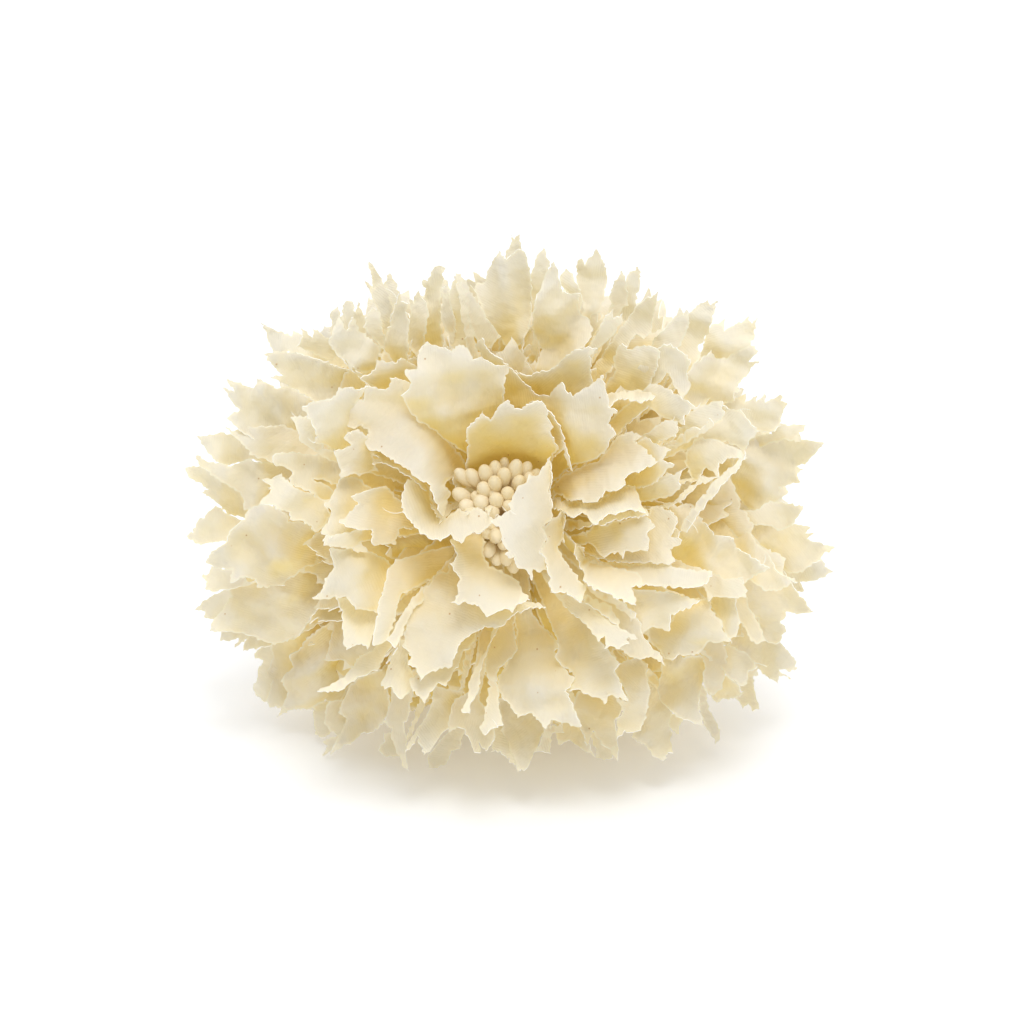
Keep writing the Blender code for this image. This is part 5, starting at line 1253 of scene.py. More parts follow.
    (2, (-28.2, 31.3, -29.3, 35.3, -29.1, 37.1, -28.8, 37.9, -28.2, 38.4, -27.5, 38.2, -26.8, 37,
      -26.3, 37.9, -25.9, 37.5, -25.4, 35.9, -24.9, 33.9, -25.4, 31.4),
     (-27.9, 38.2, 24.6), 0.1, 0.7),
    (2, (-30.1, 29.5, -31.3, 32.2, -31.5, 33.5, -31.1, 34.5, -31.3, 35.8, -30.8, 36.7, -30.2, 36.9,
      -29.5, 35.8, -28.5, 34.6, -27.6, 32.2, -27.9, 29.5),
     (-30.6, 36.7, 24.5), 0.1, 0.5),
    (2, (-29, 29.1, -31.7, 27.6, -37, 30.2, -36.3, 31.9, -36.6, 33.1, -35.8, 32.6, -34.9, 32.1, -34.5, 32.8,
      -33.6, 32.6, -32.6, 31.7, -31.5, 31.2),
     (-36.1, 33, 23.1), 0.1, 0.4),
    (2, (-27.4, 25.6, -29.9, 26.8, -33.4, 27.9, -36.5, 28.9, -39.2, 29.2, -41.1, 29, -42.5, 28.6,
      -41.8, 27.4, -41.3, 26.5, -40.1, 25, -41.2, 24.5, -40.3, 23.8, -38.9, 23, -37, 22, -34, 20.2,
      -31.4, 20.6, -30.1, 21.3, -29.4, 22.4, -28.9, 23.5, -27.8, 24.5),
     (-42.2, 27.6, 27.4), -0.1, 1.3),
    (2, (34.7, -21.9, 36.6, -23.6, 37.4, -26.3, 37.3, -29, 37.8, -30.7, 39.3, -31.4, 40.7, -30.2,
      41.4, -27.4, 41.3, -24.3, 40.5, -21.7, 38.3, -20),
     (39, -31.2, 20.2), 0.1, 0.6),
    (2, (38.8, -24.5, 40.5, -23.2, 41.8, -22.6, 43.3, -23.4, 44.9, -23.9, 45.9, -25.1, 46.8, -26.3,
      45.4, -27.3, 45.1, -29.2, 44, -29.6, 43.1, -28.8, 42, -28.3, 40.6, -26.9, 39.2, -25.7),
     (44.9, -29.4, 20.1), 0.2, 0.6),
    (3, (-40.8, 12.2, -49.1, 12.8, -51.3, 13.1, -52.4, 13.3, -55.1, 12.9, -56.6, 12.5, -55.6, 10.9,
      -54.1, 9.3, -52.7, 8, -51.1, 7.7, -48.9, 7.9, -46.7, 8.7, -42.5, 7.5),
     (-56.6, 12.5, 13.1), 0.2, 1),
    (3, (-44.3, 8.4, -46.5, 9.1, -50, 7.8, -52.2, 8.2, -53.8, 8.5, -55.7, 9.4, -55.4, 7.7, -53.2, 5.8,
      -50.8, 4.4, -48.1, 2.8, -47.4, 1.5, -47.1, 0, -45.4, 0.2, -44.1, 1, -42.7, 2.5, -41, 5.2),
     (-55.6, 8.7, 19.1), 0.15, 1),
    (3, (-49.4, 4.4, -54.7, 5.8, -57, 6.8, -59.4, 6.4, -59, 4.9, -57.4, 3.7, -56.1, 3, -55.7, 2.5,
      -56.2, 1.9, -54.7, 0.8, -53.3, -0.2, -52.2, -1.1, -50.7, -2.2, -46.9, -2.8, -44.8, -0.6, -47.5, 2.1),
     (-59.2, 6, 8.6), 0.2, 0.9),
    (3, (-48.1, -2.8, -50.5, -2.1, -52.4, -0.9, -53.6, -0.5, -55, -1.5, -55.5, -2.4, -56.4, -2.8,
      -57.1, -3.9, -57.6, -5.2, -58.5, -5.9, -57.7, -6.8, -56.2, -7.5, -54.3, -7.1, -52.1, -6.7, -50.6, -6.6,
      -48, -4.6),
     (-58.3, -5.9, 12.2), 0.3, 0.8),
    (3, (-46.5, -13.6, -48.5, -11.8, -51.8, -11.7, -53.8, -11.5, -54.3, -12.5, -55.2, -13.2, -54.6, -14.1,
      -54.6, -15.2, -53.3, -15.9, -51.6, -15.5, -49.2, -15.1),
     (-55.2, -13.2, 14.6), 0.2, 0.6),
    (3, (-31.2, -9.7, -34.3, -9, -37.6, -9.4, -40.5, -12, -45.3, -12.3, -48.7, -11.5, -50.7, -11.2,
      -50, -14.1, -51, -15.6, -50.4, -17, -51.6, -19.2, -53, -21.1, -53.1, -22.7, -50.3, -22.8, -47.1, -23.4,
      -43.9, -24.4, -42.2, -25.2, -39.6, -24.6, -37.5, -23.5, -36.1, -22, -34.9, -19.9, -33.2, -17.5,
      -31.8, -15.1, -30.9, -12.4),
     (-52.7, -22.3, 15.6), 0.3, 1.2),
    (3, (-22.2, -29.5, -26.2, -31.3, -28.1, -33.1, -29.3, -35.7, -29.8, -37.9, -28.8, -39.3, -29.1, -41.1,
      -30, -42.6, -31, -45.3, -28.6, -43.8, -27.3, -43.2, -25.8, -41.9, -23.6, -41.2, -22.1, -39.9,
      -21, -38.7, -20.6, -40, -20.4, -35.3, -20.9, -32.6),
     (-30.6, -44.9, 12.5), 0.3, 0.9),
    (3, (-28.4, -36.2, -32.2, -36.5, -33.1, -38.6, -33, -40.5, -32.1, -41.9, -31.3, -42.8, -33, -43.9,
      -32.6, -44.8, -33.3, -47.1, -31.6, -46, -29.2, -43.7),
     (-33.1, -46.9, 6.9), 0.1, 0.5),
    (3, (-5.4, -38.2, -7.2, -38.6, -10.1, -41.1, -11.6, -43, -12.6, -44.4, -13, -45.5, -12.6, -46.9,
      -11.2, -47, -9.4, -46.2, -9, -45.1, -8.5, -44.1, -7, -43.3, -6.9, -41.9, -6, -40.4),
     (-12, -46.9, 15.3), -0.3, 0.5),
    (3, (-17.5, -41.7, -19.3, -41.1, -21.1, -41.6, -21.5, -42.9, -22, -44.4, -21.3, -45.4, -18.7, -45.6,
      -17.5, -44.1),
     (-21.1, -45.4, 13.4), -0.3, 0.4),
    (3, (29.7, -30.7, 31.3, -33.4, 31.7, -36, 31.4, -38.4, 31.7, -42.3, 31.2, -42.5, 31, -43.4, 30.3, -43.8,
      28.8, -43.3, 27.3, -42, 26, -40.8, 24.7, -39.8, 25.6, -38, 26.4, -36.2, 26, -34, 26.1, -32,
      27.5, -31.3),
     (30.5, -43.6, 17.3), 0.2, 1),
    (3, (42.8, -14, 45.6, -10.3, 50.7, -9, 53.9, -13.3, 55.1, -14.4, 56, -15.5, 56.6, -16.6, 55.7, -17.1,
      54, -17.5, 52.7, -17.2, 51.8, -17.1, 52, -18.1, 51.3, -18.7, 51.9, -19.6, 52.1, -20.7, 51.4, -21.4,
      51.2, -22.4, 50.2, -23.1, 48.3, -22.3, 46.7, -18.7),
     (56.2, -16.6, 10.5), 0.1, 1),
    (3, (39.5, -27.8, 38.1, -28.7, 37.6, -30.4, 38.2, -31.6, 38.9, -32.5, 39.9, -33.2, 41.1, -32.8,
      42.8, -32.5, 44.2, -31.5, 43.6, -29.8, 41.7, -28.5),
     (43.3, -32.3, 16.6), -0.2, 0.5),
    (3, (44.6, 14.5, 46.4, 15.3, 49.1, 15.8, 51.1, 15.5, 53.7, 15.2, 55.5, 14.9, 57.5, 14.4, 56.8, 13.1,
      55.8, 11.6, 54.3, 10.2, 53.5, 9.7, 54.2, 9.5, 53.5, 8.6, 53.7, 7.3, 52.1, 6.5, 50.5, 5.9, 51.4, 5.2,
      50.5, 4.1, 50, 3.5, 48.4, 3.1, 47.1, 2.1, 46.2, 1.3, 44.9, 1.7, 43.8, 2.4, 42.3, 4.4, 41.1, 7.1,
      41.9, 11.7),
     (57.1, 14.2, 14.3), -0.1, 1.4),
    (3, (48.2, 16.1, 48.5, 17.4, 50.9, 17.6, 52.7, 17.5, 54.3, 17.4, 53.8, 16.1, 53.5, 14.8, 50.9, 14.8),
     (54.3, 17.2, 14.5), 0.2, 0.5),
    (3, (44.1, -0.6, 46.8, -0.1, 49.6, -1.3, 52.9, -0.9, 54.4, -1.2, 55.7, -1.8, 55.5, -2.5, 56.4, -2.7,
      55.9, -3.6, 58.3, -4.5, 60.3, -5.3, 58.9, -6.5, 58, -7.4, 56.6, -8.2, 54.4, -9.9, 52.6, -10.1,
      50.7, -8.7, 47.9, -6, 45.4, -4.2),
     (60.2, -5.3, 7.4), 0.1, 1.1),
    (3, (37.6, 20.9, 39.6, 21.1, 40.8, 22.1, 42.2, 22.3, 43.5, 22.9, 43.7, 21.8, 45.5, 22.6, 45.7, 22.1,
      46.9, 22.8, 47.3, 22, 48.6, 22.4, 49.6, 22.9, 50.4, 22.8, 50.2, 22.1, 50.9, 21.7, 50.6, 20.5,
      50.1, 19.2, 49.9, 17.7, 48.2, 16.4, 46, 16.3, 43.7, 16.6, 40, 17.4),
     (50.4, 22.6, 19), 0.2, 1.1),
    (3, (35, 29, 35.8, 32.3, 36.5, 33.8, 37, 34.9, 38.1, 35.5, 39.2, 36, 39.5, 34.4, 41.3, 35.2, 42.7, 36,
      43.8, 36.5, 44.4, 35.8, 45.3, 36.4, 45, 34.4, 45, 33.1, 44.3, 32.4, 44.1, 31.3, 42.3, 29.8, 39.6, 28.8,
      37.2, 28.7),
     (44.9, 36, 6.5), 0.3, 1),
    (3, (29.3, 31, 30, 33.4, 31.4, 36.1, 33.1, 37.6, 34.4, 38.8, 35.5, 39.7, 36.2, 39.9, 36.9, 39.2,
      37.8, 39.6, 37.5, 37.9, 37.2, 36.3, 36.7, 34.5, 35.8, 32.6, 34.9, 31.2, 35.3, 29.5, 34.1, 28.2,
      33, 26.7, 30.6, 27.9),
     (37.3, 39.6, 16.8), 0, 1),
    (3, (13.9, 37.5, 13.1, 40.3, 12.4, 42.2, 12.3, 45.3, 12.8, 46.6, 13.2, 47, 13.9, 45.9, 14.6, 47.2,
      15.5, 47.9, 15.9, 48.5, 16.4, 48.1, 17.2, 46.3, 17.8, 44.5, 17.8, 42.2, 17.5, 39.4, 16.8, 37.2,
      15.4, 36.7),
     (15.9, 48.5, 17.2), 0, 1),
    (3, (-1.6, 40.8, -0.9, 45.9, -0.4, 48.1, 0.5, 49.8, 0.3, 50.7, 1, 50.3, 1.6, 50.9, 2.2, 48.7, 2.4, 46,
      2.1, 40.9),
     (1, 50.7, 15.6), 0, 0.5),
    (3, (-21.8, 29.4, -22.7, 32.7, -23.2, 34.9, -23.6, 36.5, -24.2, 37.6, -24.9, 39, -25.4, 40.5,
      -25.8, 41.6, -24.6, 40.9, -24.9, 42.9, -25.5, 44.3, -25.3, 45.2, -24.4, 44.3, -23.7, 43.1, -22.8, 41.6,
      -21.8, 40.4, -21.1, 38.9, -20.6, 37.8, -21.1, 35.8, -21.4, 32.2, -21, 29.4),
     (-25.1, 44.8, 17.3), 0.1, 0.6),
    (3, (-29, 26.2, -30.8, 25.8, -36.2, 27.7, -39.9, 28.6, -42.8, 28.7, -43.9, 30.3, -44.5, 31.9,
      -45.1, 33.6, -43.6, 32.9, -41.8, 32.2, -39.9, 31.7, -39.6, 32.2, -37.9, 31.7, -36.1, 31, -34.5, 30.3,
      -32.3, 30.5, -29.9, 29.1),
     (-44.7, 33.2, 14.6), 0.1, 1),
    (4, (-49.7, -20, -48.7, -17.1, -51.7, -16.9, -54.3, -17.6, -56.6, -18.9, -58, -19.9, -59.1, -21.3,
      -57.5, -21.7, -57.3, -22.5, -54.7, -22.9, -52.6, -21.5),
     (-59.1, -21.3, -5), 0.2, 0.6),
    (4, (-39.7, -25.1, -47.4, -23.7, -51.7, -23.2, -54.6, -23.9, -53, -24.3, -52.9, -25.6, -51.3, -25.9,
      -49.6, -25.4, -49.8, -26.5, -48.1, -25.7, -48.2, -27.1, -46.8, -26.9, -45.5, -26.7, -43.4, -26.2),
     (-52.7, -25.7, 6.1), 0.4, 0.5),
    (4, (-41, -28.3, -43.9, -27.3, -46.4, -27.4, -47, -28.2, -48, -29.4, -47.8, -30.2, -46.6, -30.7,
      -47.2, -32.5, -47.4, -34.4, -48, -36, -47.6, -37.2, -45.9, -38.2, -42.9, -36.1, -40.6, -32.1),
     (-47.8, -36.4, -5), 0, 0.6),
    (4, (-34.1, -25.9, -34.7, -19.4, -38.9, -21.2, -42.8, -23.7, -44.7, -25.7, -44.3, -29.9, -44.7, -31.2,
      -45.5, -33, -44.5, -34.1, -44.7, -36, -45.1, -38, -44.5, -39.1, -41.7, -38.9, -38.8, -37.2,
      -37.3, -32.7),
     (-44.7, -38.7, -2.9), 0.1, 0.5),
    (4, (-28.5, -28.1, -29.7, -25.3, -31, -17.7, -31.8, -20, -32.7, -21.8, -34.9, -23.5, -37.2, -25.5,
      -37.7, -26.1, -38.3, -27.4, -40.4, -29, -40, -30.9, -41.5, -32.7, -41.9, -33.7, -40.9, -35.4,
      -41.5, -37.5, -42.7, -40.5, -40.8, -39.4, -37.5, -38.7, -36.2, -38.7, -34.9, -37.5, -33.4, -36.9,
      -31.5, -37.9, -29.2, -34.8, -27.4, -31.3),
     (-42.5, -40.3, 2), -0.1, 1.2),
    (4, (-31.7, -36.9, -35, -37.6, -35.9, -38.6, -35.9, -41.9, -35.3, -43.8, -34.2, -44.3, -32.7, -43.4,
      -31.1, -41.6),
     (-35.3, -43.7, 1.3), 0, 0.5),
    (4, (37.5, -30.4, 36.8, -31.9, 37.6, -33.5, 38, -35.4, 38.6, -37.4, 39.6, -39.2, 40.4, -40.9,
      40.3, -42.1, 39.7, -42.6, 38.8, -41.3, 37.6, -39.7, 36.8, -37.8, 36.2, -34.9, 36.3, -32.8,
      36.4, -30.9),
     (39.9, -42.5, 2), 0.7, 0.1),
    (4, (43.3, -21.9, 45, -18.5, 49.5, -19.6, 51.3, -24, 52.3, -25.3, 53.3, -26.6, 54.2, -27.6, 54.1, -28.7,
      54.5, -29.1, 53.2, -29.6, 51.5, -29.4, 53, -30.8, 51.3, -30.6, 50.8, -31.5, 49.1, -30.8, 47.9, -30,
      47, -29.1, 45.6, -27.2),
     (54.3, -28.9, -4), 0.1, 0.8),
    (4, (42.7, -23.9, 40.4, -25.4, 40.4, -26.7, 41.2, -28.6, 41.4, -31, 42.4, -32.3, 44.1, -33.7, 43, -34.6,
      43.8, -35.7, 44.6, -36.5, 45.5, -36.1, 46.4, -36.9, 47.4, -36.5, 47.1, -35.2, 46.7, -32.9, 46.3, -31,
      47, -30.5, 47, -29.2, 46.4, -27.6, 45.6, -25.8),
     (47.2, -36.5, -3), 0.2, 0.8),
    (4, (52.6, -8.2, 56.3, -8.5, 58.1, -8, 59.1, -9.2, 60.2, -10.3, 59.3, -10.9, 59.1, -11.2, 56.9, -12,
      54.7, -12.4, 54.9, -13.7, 54, -13.9, 52.7, -13.3, 50.8, -11),
     (60, -10.3, 1.4), 0.2, 0.8),
)

# How many more petals fill in each ring, and how near the outside they come
FILL_IN = (8, 18, 25, 30, 34, 30, 22, 18, 12)
FILL_REACH = (0.66, 0.72, 0.78, 0.84, 0.90, 0.95, 0.97, 0.97, 0.97)


def heading(lean, round_angle):
    """Unit vectors at a lean from the flower's axis; round_angle runs clockwise from the top."""
    lean, round_angle = np.broadcast_arrays(lean, round_angle)
    outward = np.multiply.outer(np.cos(round_angle), UP) + np.multiply.outer(np.sin(round_angle), RIGHT)
    return np.cos(lean)[..., None] * OUT + np.sin(lean)[..., None] * outward


def reach_of(way):
    """Distance from the core to the flower's outside, which is a flattened ball."""
    return 1 / math.hypot(way[0] / HALF_WIDTH, way[1] / HALF_DEPTH, way[2] / HALF_HEIGHT)


def pressed(points, side):
    """Bends what would reach the table forwards or backwards along it."""
    low = points[:, 2] < PRESS_HEIGHT
    height = np.where(low, PRESS_HEIGHT * np.exp((points[:, 2] - PRESS_HEIGHT) / PRESS_HEIGHT), points[:, 2])
    moved = points.copy()
    moved[:, 1] += side * (height - points[:, 2])
    moved[:, 2] = np.where(low, np.maximum(height, CLOTH / 2) + LIFT_CLEAR, height)
    return moved


def seen_petal(corners, tip, facing, dimple, rng):
    """One petal cut to its own outline; its claw, hidden among the others, is added to it."""
    tip = np.array(tip, float)
    length = math.hypot(tip[0], tip[1])
    way = tip[:2] / length
    # The way across the petal that points up, or to the right where the petal itself stands upright
    level = np.array((-way[1], way[0]))
    if level[1] < -LEVEL or (abs(level[1]) <= LEVEL and level[0] < 0):
        level = -level

    def height(places):
        share = places @ way / length
        arch = 4 * ARCH * share * (1 - share)
        return HUB_HEIGHT + (tip[2] - HUB_HEIGHT) * share + arch - facing * (places @ level) * share

    corners = np.array(corners).reshape(-1, 2)
    side = 1 if corners[-1] @ level > corners[0] @ level else -1
    claw = np.array([way * HUB_REACH + level * side * half for half in (HUB_CLAW, -HUB_CLAW)])
    petal = hand_shaped(np.vstack((corners, claw)), height, dimple, rng)
    return petal._replace(points=pressed(petal.points, -1))


def ring_petal(number, tip_lean, middle, tip, width, turn, rng):
    """One petal of a ring, laid from its claw on the core out to its tip, which leans out further."""
    bend = math.radians(20 - 8 * min(1, max(0, (math.degrees(tip_lean) - 45) / 40)))
    innermost = math.radians(36 + 7 * math.cos(middle))
    root_lean = max(tip_lean - bend, min(tip_lean - math.radians(4), innermost))
    share = np.linspace(0, 1, SPINE_STATIONS)
    reach = CLAW_ROOT + (tip - CLAW_ROOT) * share
    curl = rng.uniform(-0.06, 0.12)
    sway = rng.uniform(-0.15, 0.15)
    lean = root_lean + (tip_lean - root_lean) * share**1.7 + curl * (share**3 - share)
    round_angle = middle + sway * (share**2 - share)
    spine = CORE + heading(lean, round_angle) * reach[:, None]
    across = unit(heading(math.pi / 2, round_angle + math.pi / 2))
    along = unit(np.gradient(spine, axis=0))
    backward = np.cross(along, across)
    turned = (turn * share**0.7)[:, None]
    sides = across * np.cos(turned) + backward * np.sin(turned)
    pitch = rng.uniform(3.0, 4.8) * MM
    cut = dict(length=np.linalg.norm(np.diff(spine, axis=0), axis=1).sum(), width=width,
               belly=rng.uniform(0.64, 0.76), blunt=rng.uniform(1.3, 2.2), pitch=pitch,
               depth=TOOTH_DEPTH * pitch, smooth=rng.uniform(0.5, 0.66), lean=TOOTH_LEAN)
    look = dict(ruffle=rng.uniform(0.6, 1.6) * MM, flute=rng.uniform(0.3, 0.9) * MM,
                creases=rng.randint(0, 2), fold=SHARPEST_FOLD, dimple=rng.uniform(0.9, 1.9) * MM,
                cup=rng.uniform(-0.8, 0.8))
    flat, faces, from_edge = flat_petal(cut, rng)
    rise = worked(flat, cut, look, rng)
    side = -1 if number < FORWARD_RINGS else 1
    points = pressed(laid(flat, rise, spine, sides), side)
    return Petal(points, faces, flat, from_edge, rng.uniform(0, 1))


def petal_ring(number, finishes):
    rng = random.Random(200 + number)
    petals = [seen_petal(*measured, rng) for ring, *measured in SEEN_PETALS if ring == number + 1]
    count = FILL_IN[number]
    for i in range(count):
        middle = math.tau * (i + rng.uniform(-0.3, 0.3)) / count
        tip_lean = FIRST_TIP + TIP_STEP * (number + rng.uniform(-0.5, 0.5))
        turn = -0.5 * math.sin(middle) + rng.uniform(-0.8, 0.8)
        width = PETAL_WIDTH * rng.uniform(0.75, 1.05)
        tip = reach_of(heading(tip_lean, middle)) * FILL_REACH[number] * rng.uniform(0.93, 1.02)
        petals.append(ring_petal(number, tip_lean, middle, tip, width, turn, rng))
    name = f"petal_ring_{number + 1}"
    piece = cloth_piece(name + "_cloth", petals, finishes)
    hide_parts(name)
    return piece


ring_cloth = cloth_finish("ring_petal_cloth")
for ring_number in range(RING_COUNT):
    cloth_pieces.append(petal_ring(ring_number, (ring_cloth, cut_edge)))

# The painted shade of the folds
# Light that reaches the folds has been off and through several petals, which leaves it straw yellow. The
# cloth's colour is painted to match, as painted shade: each point of it keeps a measure of how much open air
# it has round it, and the less it has, the deeper its painted straw yellow.
# The size of a cell, how many cells far the view goes, how much of it one layer of cloth stops, how much more
# the view upwards counts (painted light from above), and how much paler a face that looks straight up is
# painted (painted light on upper faces)
AIR_CELL = 1.4 * MM
SIGHT_CELLS = 16
CLOTH_STOPS = 0.8
FROM_ABOVE = 1.0
UPPER_FACE = 0.15


def air_round(pieces):
    """How much of the room each cell of a grid over the flower sees past the cloth; the grid's corner."""
    middles, areas = [], []
    for piece in pieces:
        count = len(piece.data.polygons)
        middle = np.empty(count * 3)
        area = np.empty(count)
        piece.data.polygons.foreach_get("center", middle)
        piece.data.polygons.foreach_get("area", area)
        middles.append(middle.reshape(-1, 3))
        areas.append(area / 2)
    middles = np.vstack(middles)
    corner = middles.min(axis=0) - 3 * AIR_CELL
    cells = ((middles - corner) / AIR_CELL).astype(int)
    cloth = np.zeros(cells.max(axis=0) + 4)
    np.add.at(cloth, tuple(cells.T), np.concatenate(areas))
    stopped = CLOTH_STOPS * cloth / AIR_CELL**2
    steps = np.array([step for step in product((-1, 0, 1), repeat=3) if any(step)])
    # Painted light from above: the view upwards counts more, so places covered overhead are painted deeper.
    weights = 1 + FROM_ABOVE * steps[:, 2] / np.linalg.norm(steps, axis=1)
    seen = np.zeros(cloth.shape)
    for step, weight in zip(steps, weights):
        run = np.zeros(cloth.shape)
        moved = stopped
        for _ in range(SIGHT_CELLS):
            moved = shifted(moved, step)
            run += moved * np.linalg.norm(step)
        seen += weight * np.exp(-run)
    return seen / weights.sum(), corner


def shifted(grid, step):
    """The grid moved by one cell against step, with empty air coming in at its sides."""
    moved = np.zeros(grid.shape)
    into = tuple(slice(max(0, -s), grid.shape[i] - max(0, s)) for i, s in enumerate(step))
    out_of = tuple(slice(max(0, s), grid.shape[i] - max(0, -s)) for i, s in enumerate(step))
    moved[into] = grid[out_of]
    return moved


def mark_painted_shade_air(pieces):
    seen, corner = air_round(pieces)
    for piece in pieces:
        mesh = piece.data
        places = np.empty(len(mesh.vertices) * 3)
        normals = np.empty(len(mesh.vertices) * 3)
        mesh.vertices.foreach_get("co", places)
        mesh.vertex_normals.foreach_get("vector", normals)
        at = (places.reshape(-1, 3) - corner) / AIR_CELL - 0.5
        cell = np.floor(at).astype(int)
        part = at - cell
        # Painted light on upper faces: a face that looks up is painted paler, one that looks down deeper.
        value = UPPER_FACE * normals[2::3]
        for corner_step in np.ndindex(2, 2, 2):
            weight = np.prod(np.where(corner_step, part, 1 - part), axis=1)
            value += weight * seen[tuple((cell + corner_step).T)]
        mesh.attributes.new("painted_shade_air", "FLOAT", "POINT").data.foreach_set("value", value)


mark_painted_shade_air(cloth_pieces)

# The loose threads
# Single yarns that have come out of the pinked margins, mostly short and slightly curled, each still held in
# the cloth by its root.
YARN_RADIUS = 0.055 * MM
YARN_SIDES = 5
YARN_COUNT = 90
YARN_SHORTEST = 0.8 * MM
YARN_LONGEST = 6 * MM
YARN_AIR = 0.55
YARN_CLEAR = 13 * MM


def margin_points(piece):
    """The points of a piece's cut margins that stand in the open, clear of the table."""
    mesh = piece.data
    count = len(mesh.vertices)
    places = np.empty(count * 3)
    mesh.vertices.foreach_get("co", places)
    places = places.reshape(-1, 3)
    from_edge, air = np.empty(count), np.empty(count)
    mesh.attributes["from_edge"].data.foreach_get("value", from_edge)
    mesh.attributes["painted_shade_air"].data.foreach_get("value", air)
    return places[(from_edge < 0.01 * MM) & (air > YARN_AIR) & (places[:, 2] > YARN_CLEAR)]


def loose_threads(pieces):
    rng = random.Random(17)
    roots = np.vstack([margin_points(piece) for piece in pieces])
    share = np.linspace(0, 1, 9)
    rods = []
    for _ in range(YARN_COUNT):
        root = roots[rng.randrange(len(roots))]
        way = unit(unit(root - CORE) + np.array([rng.uniform(-0.7, 0.7) for _ in range(3)]))
        bend = unit(np.cross(way, np.array([rng.gauss(0, 1) for _ in range(3)])))
        length = YARN_SHORTEST + (YARN_LONGEST - YARN_SHORTEST) * rng.random() ** 3
        curl = rng.uniform(0.15, 0.7) * length * share**2
        path = root + way * (length * share - 0.4 * curl)[:, None] + bend * curl[:, None]
        rods.append(swept(path, YARN_RADIUS * (1 - 0.5 * share**3), YARN_SIDES))
    points, faces = joined(rods)
    # The threads take the cut edge's finish, with its painted highlight glow.
    piece = smooth_piece("loose_threads", points, faces, cut_edge)


loose_threads(cloth_pieces)

# The binding thread
# Waxed cotton thread wound closely round the neck behind the last petals, which holds the rings' claws tight.
BIND_RADIUS = 0.24 * MM
BIND_CLEAR = 0.15 * MM
BIND_PITCH = 2.15 * BIND_RADIUS
BIND_SIDES = 8
BIND_TURNS = 9
BIND_START = 12.6 * MM
BIND_POINTS = 40
THREAD_COLOUR = (0.74, 0.64, 0.44)


def thread_finish():
    """Waxed thread: an even cream with fine slanting strands."""
    finish, shader = bare_finish("waxed_thread", 0.7)
    link = finish.node_tree.links.new
    place = add_node(finish, "ShaderNodeTexCoord")
    strands = add_node(finish, "ShaderNodeTexWave", Scale=500, Distortion=2)
    ramp = add_node(finish, "ShaderNodeValToRGB")
    ramp.color_ramp.elements[0].color = (*[c * 0.75 for c in THREAD_COLOUR], 1)
    ramp.color_ramp.elements[1].color = (*THREAD_COLOUR, 1)
    bump = add_node(finish, "ShaderNodeBump", Strength=0.5, Distance=0.1 * MM)
    link(place.outputs["Object"], strands.inputs["Vector"])
    link(strands.outputs["Fac"], ramp.inputs["Fac"])
    link(strands.outputs["Fac"], bump.inputs["Height"])
    link(ramp.outputs["Color"], shader.inputs["Base Color"])
    link(bump.outputs["Normal"], shader.inputs["Normal"])
    return finish


def binding_thread():
    turns = np.linspace(0, BIND_TURNS, BIND_TURNS * BIND_POINTS)
    angle = turns * math.tau
    winding = NECK_RADIUS + BIND_CLEAR + BIND_RADIUS
    heights = -BIND_START - turns * BIND_PITCH
    path = from_core(winding * np.cos(angle), winding * np.sin(angle), heights)
    points, faces = swept(path, np.full(len(path), BIND_RADIUS), BIND_SIDES)
    piece = smooth_piece("binding_thread_wound", points, faces, thread_finish())
    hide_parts("binding_thread")


binding_thread()

# The table and the light
# A wide pale table, a broad soft light above, in front and a little to the right, and a white room that is
# brighter overhead and behind. The camera looks down at the flower's face through a long lens.
TABLE_HALF = 6
TABLE_WHITE = (0.91, 0.93, 0.97)
TABLE_GLOW = (0.95, 0.97, 1)
TABLE_GLOWS = 0.21
LAMP_PLACE = (0.08, -0.48, 1.0)
LAMP_AIM = (0, 0, 0.04)
LAMP_SIZE = 0.45
LAMP_POWER = 3.75
CAMERA_TARGET = Vector((0.6, 2.7, 41.5)) * MM
CAMERA_LIFT = math.radians(22.5)
CAMERA_DISTANCE = 0.72
LENS = 135
ROOM_SIDES = 0.30
ROOM_CEILING = 1.1
CEILING_FROM = 0.8
BRIGHT_SIDE = (0, 0.4, 0.9)


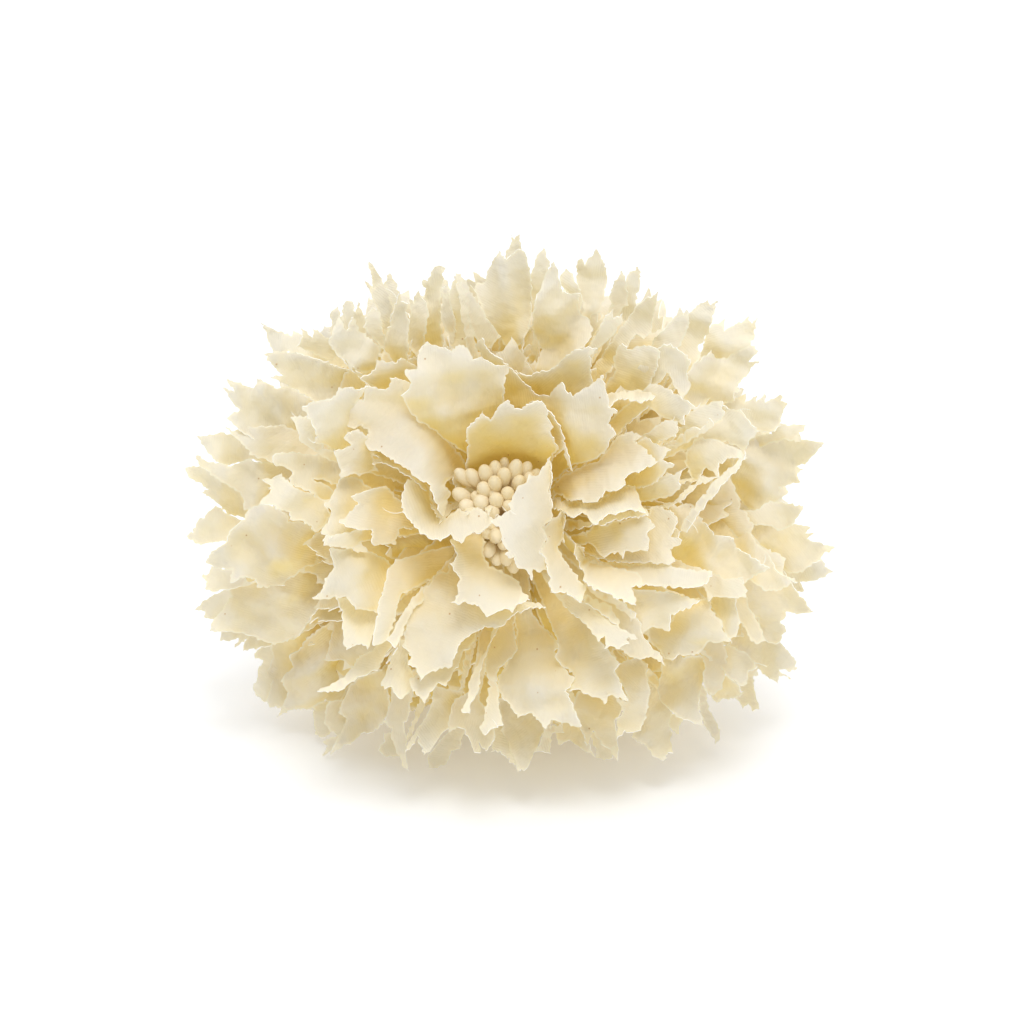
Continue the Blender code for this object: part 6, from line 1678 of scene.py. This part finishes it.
def table_top():
    mesh = bpy.data.meshes.new("table")
    corners = [(x * TABLE_HALF, y * TABLE_HALF, 0) for x, y in ((-1, -1), (1, -1), (1, 1), (-1, 1))]
    mesh.from_pydata(corners, [], [(0, 1, 2, 3)])
    table = bpy.data.objects.new("table", mesh)
    bpy.context.scene.collection.objects.link(table)
    finish, shader = bare_finish("table_white", 0.9)
    shader.inputs["Base Color"].default_value = (*TABLE_WHITE, 1)
    shader.inputs["Specular IOR Level"].default_value = 0.1
    shader.inputs["Emission Color"].default_value = (*TABLE_GLOW, 1)
    shader.inputs["Emission Strength"].default_value = TABLE_GLOWS
    mesh.materials.append(finish)


def soft_light():
    lamp = bpy.data.lights.new("top_light", "AREA")
    lamp.shape = "DISK"
    lamp.size = LAMP_SIZE
    lamp.energy = LAMP_POWER
    obj = bpy.data.objects.new("top_light", lamp)
    obj.location = LAMP_PLACE
    obj.rotation_euler = (Vector(LAMP_AIM) - Vector(LAMP_PLACE)).to_track_quat("-Z", "Y").to_euler()
    bpy.context.scene.collection.objects.link(obj)


def white_room():
    """A plain white room round the table, brighter overhead and behind."""
    room = bpy.data.worlds.new("white_room")
    room.use_nodes = True
    nodes, link = room.node_tree.nodes, room.node_tree.links.new
    way = nodes.new("ShaderNodeTexCoord")
    brightness = nodes.new("ShaderNodeVectorMath")
    brightness.operation = "DOT_PRODUCT"
    brightness.inputs[1].default_value = BRIGHT_SIDE
    light = nodes.new("ShaderNodeMapRange")
    light.inputs["From Max"].default_value = CEILING_FROM
    light.inputs["To Min"].default_value = ROOM_SIDES
    light.inputs["To Max"].default_value = ROOM_CEILING
    link(way.outputs["Generated"], brightness.inputs[0])
    link(brightness.outputs["Value"], light.inputs["Value"])
    link(light.outputs["Result"], nodes["Background"].inputs["Strength"])
    nodes["Background"].inputs["Color"].default_value = (1, 1, 1, 1)
    bpy.context.scene.world = room
    bpy.context.scene.view_settings.view_transform = "Standard"


def long_lens():
    camera = bpy.data.cameras.new("camera")
    camera.lens = LENS
    camera.sensor_width = 36
    obj = bpy.data.objects.new("camera", camera)
    back = Vector((0, -math.cos(CAMERA_LIFT), math.sin(CAMERA_LIFT)))
    obj.location = CAMERA_TARGET + back * CAMERA_DISTANCE
    obj.rotation_euler = (-back).to_track_quat("-Z", "Y").to_euler()
    bpy.context.scene.collection.objects.link(obj)
    bpy.context.scene.camera = obj


table_top()
soft_light()
white_room()
long_lens()
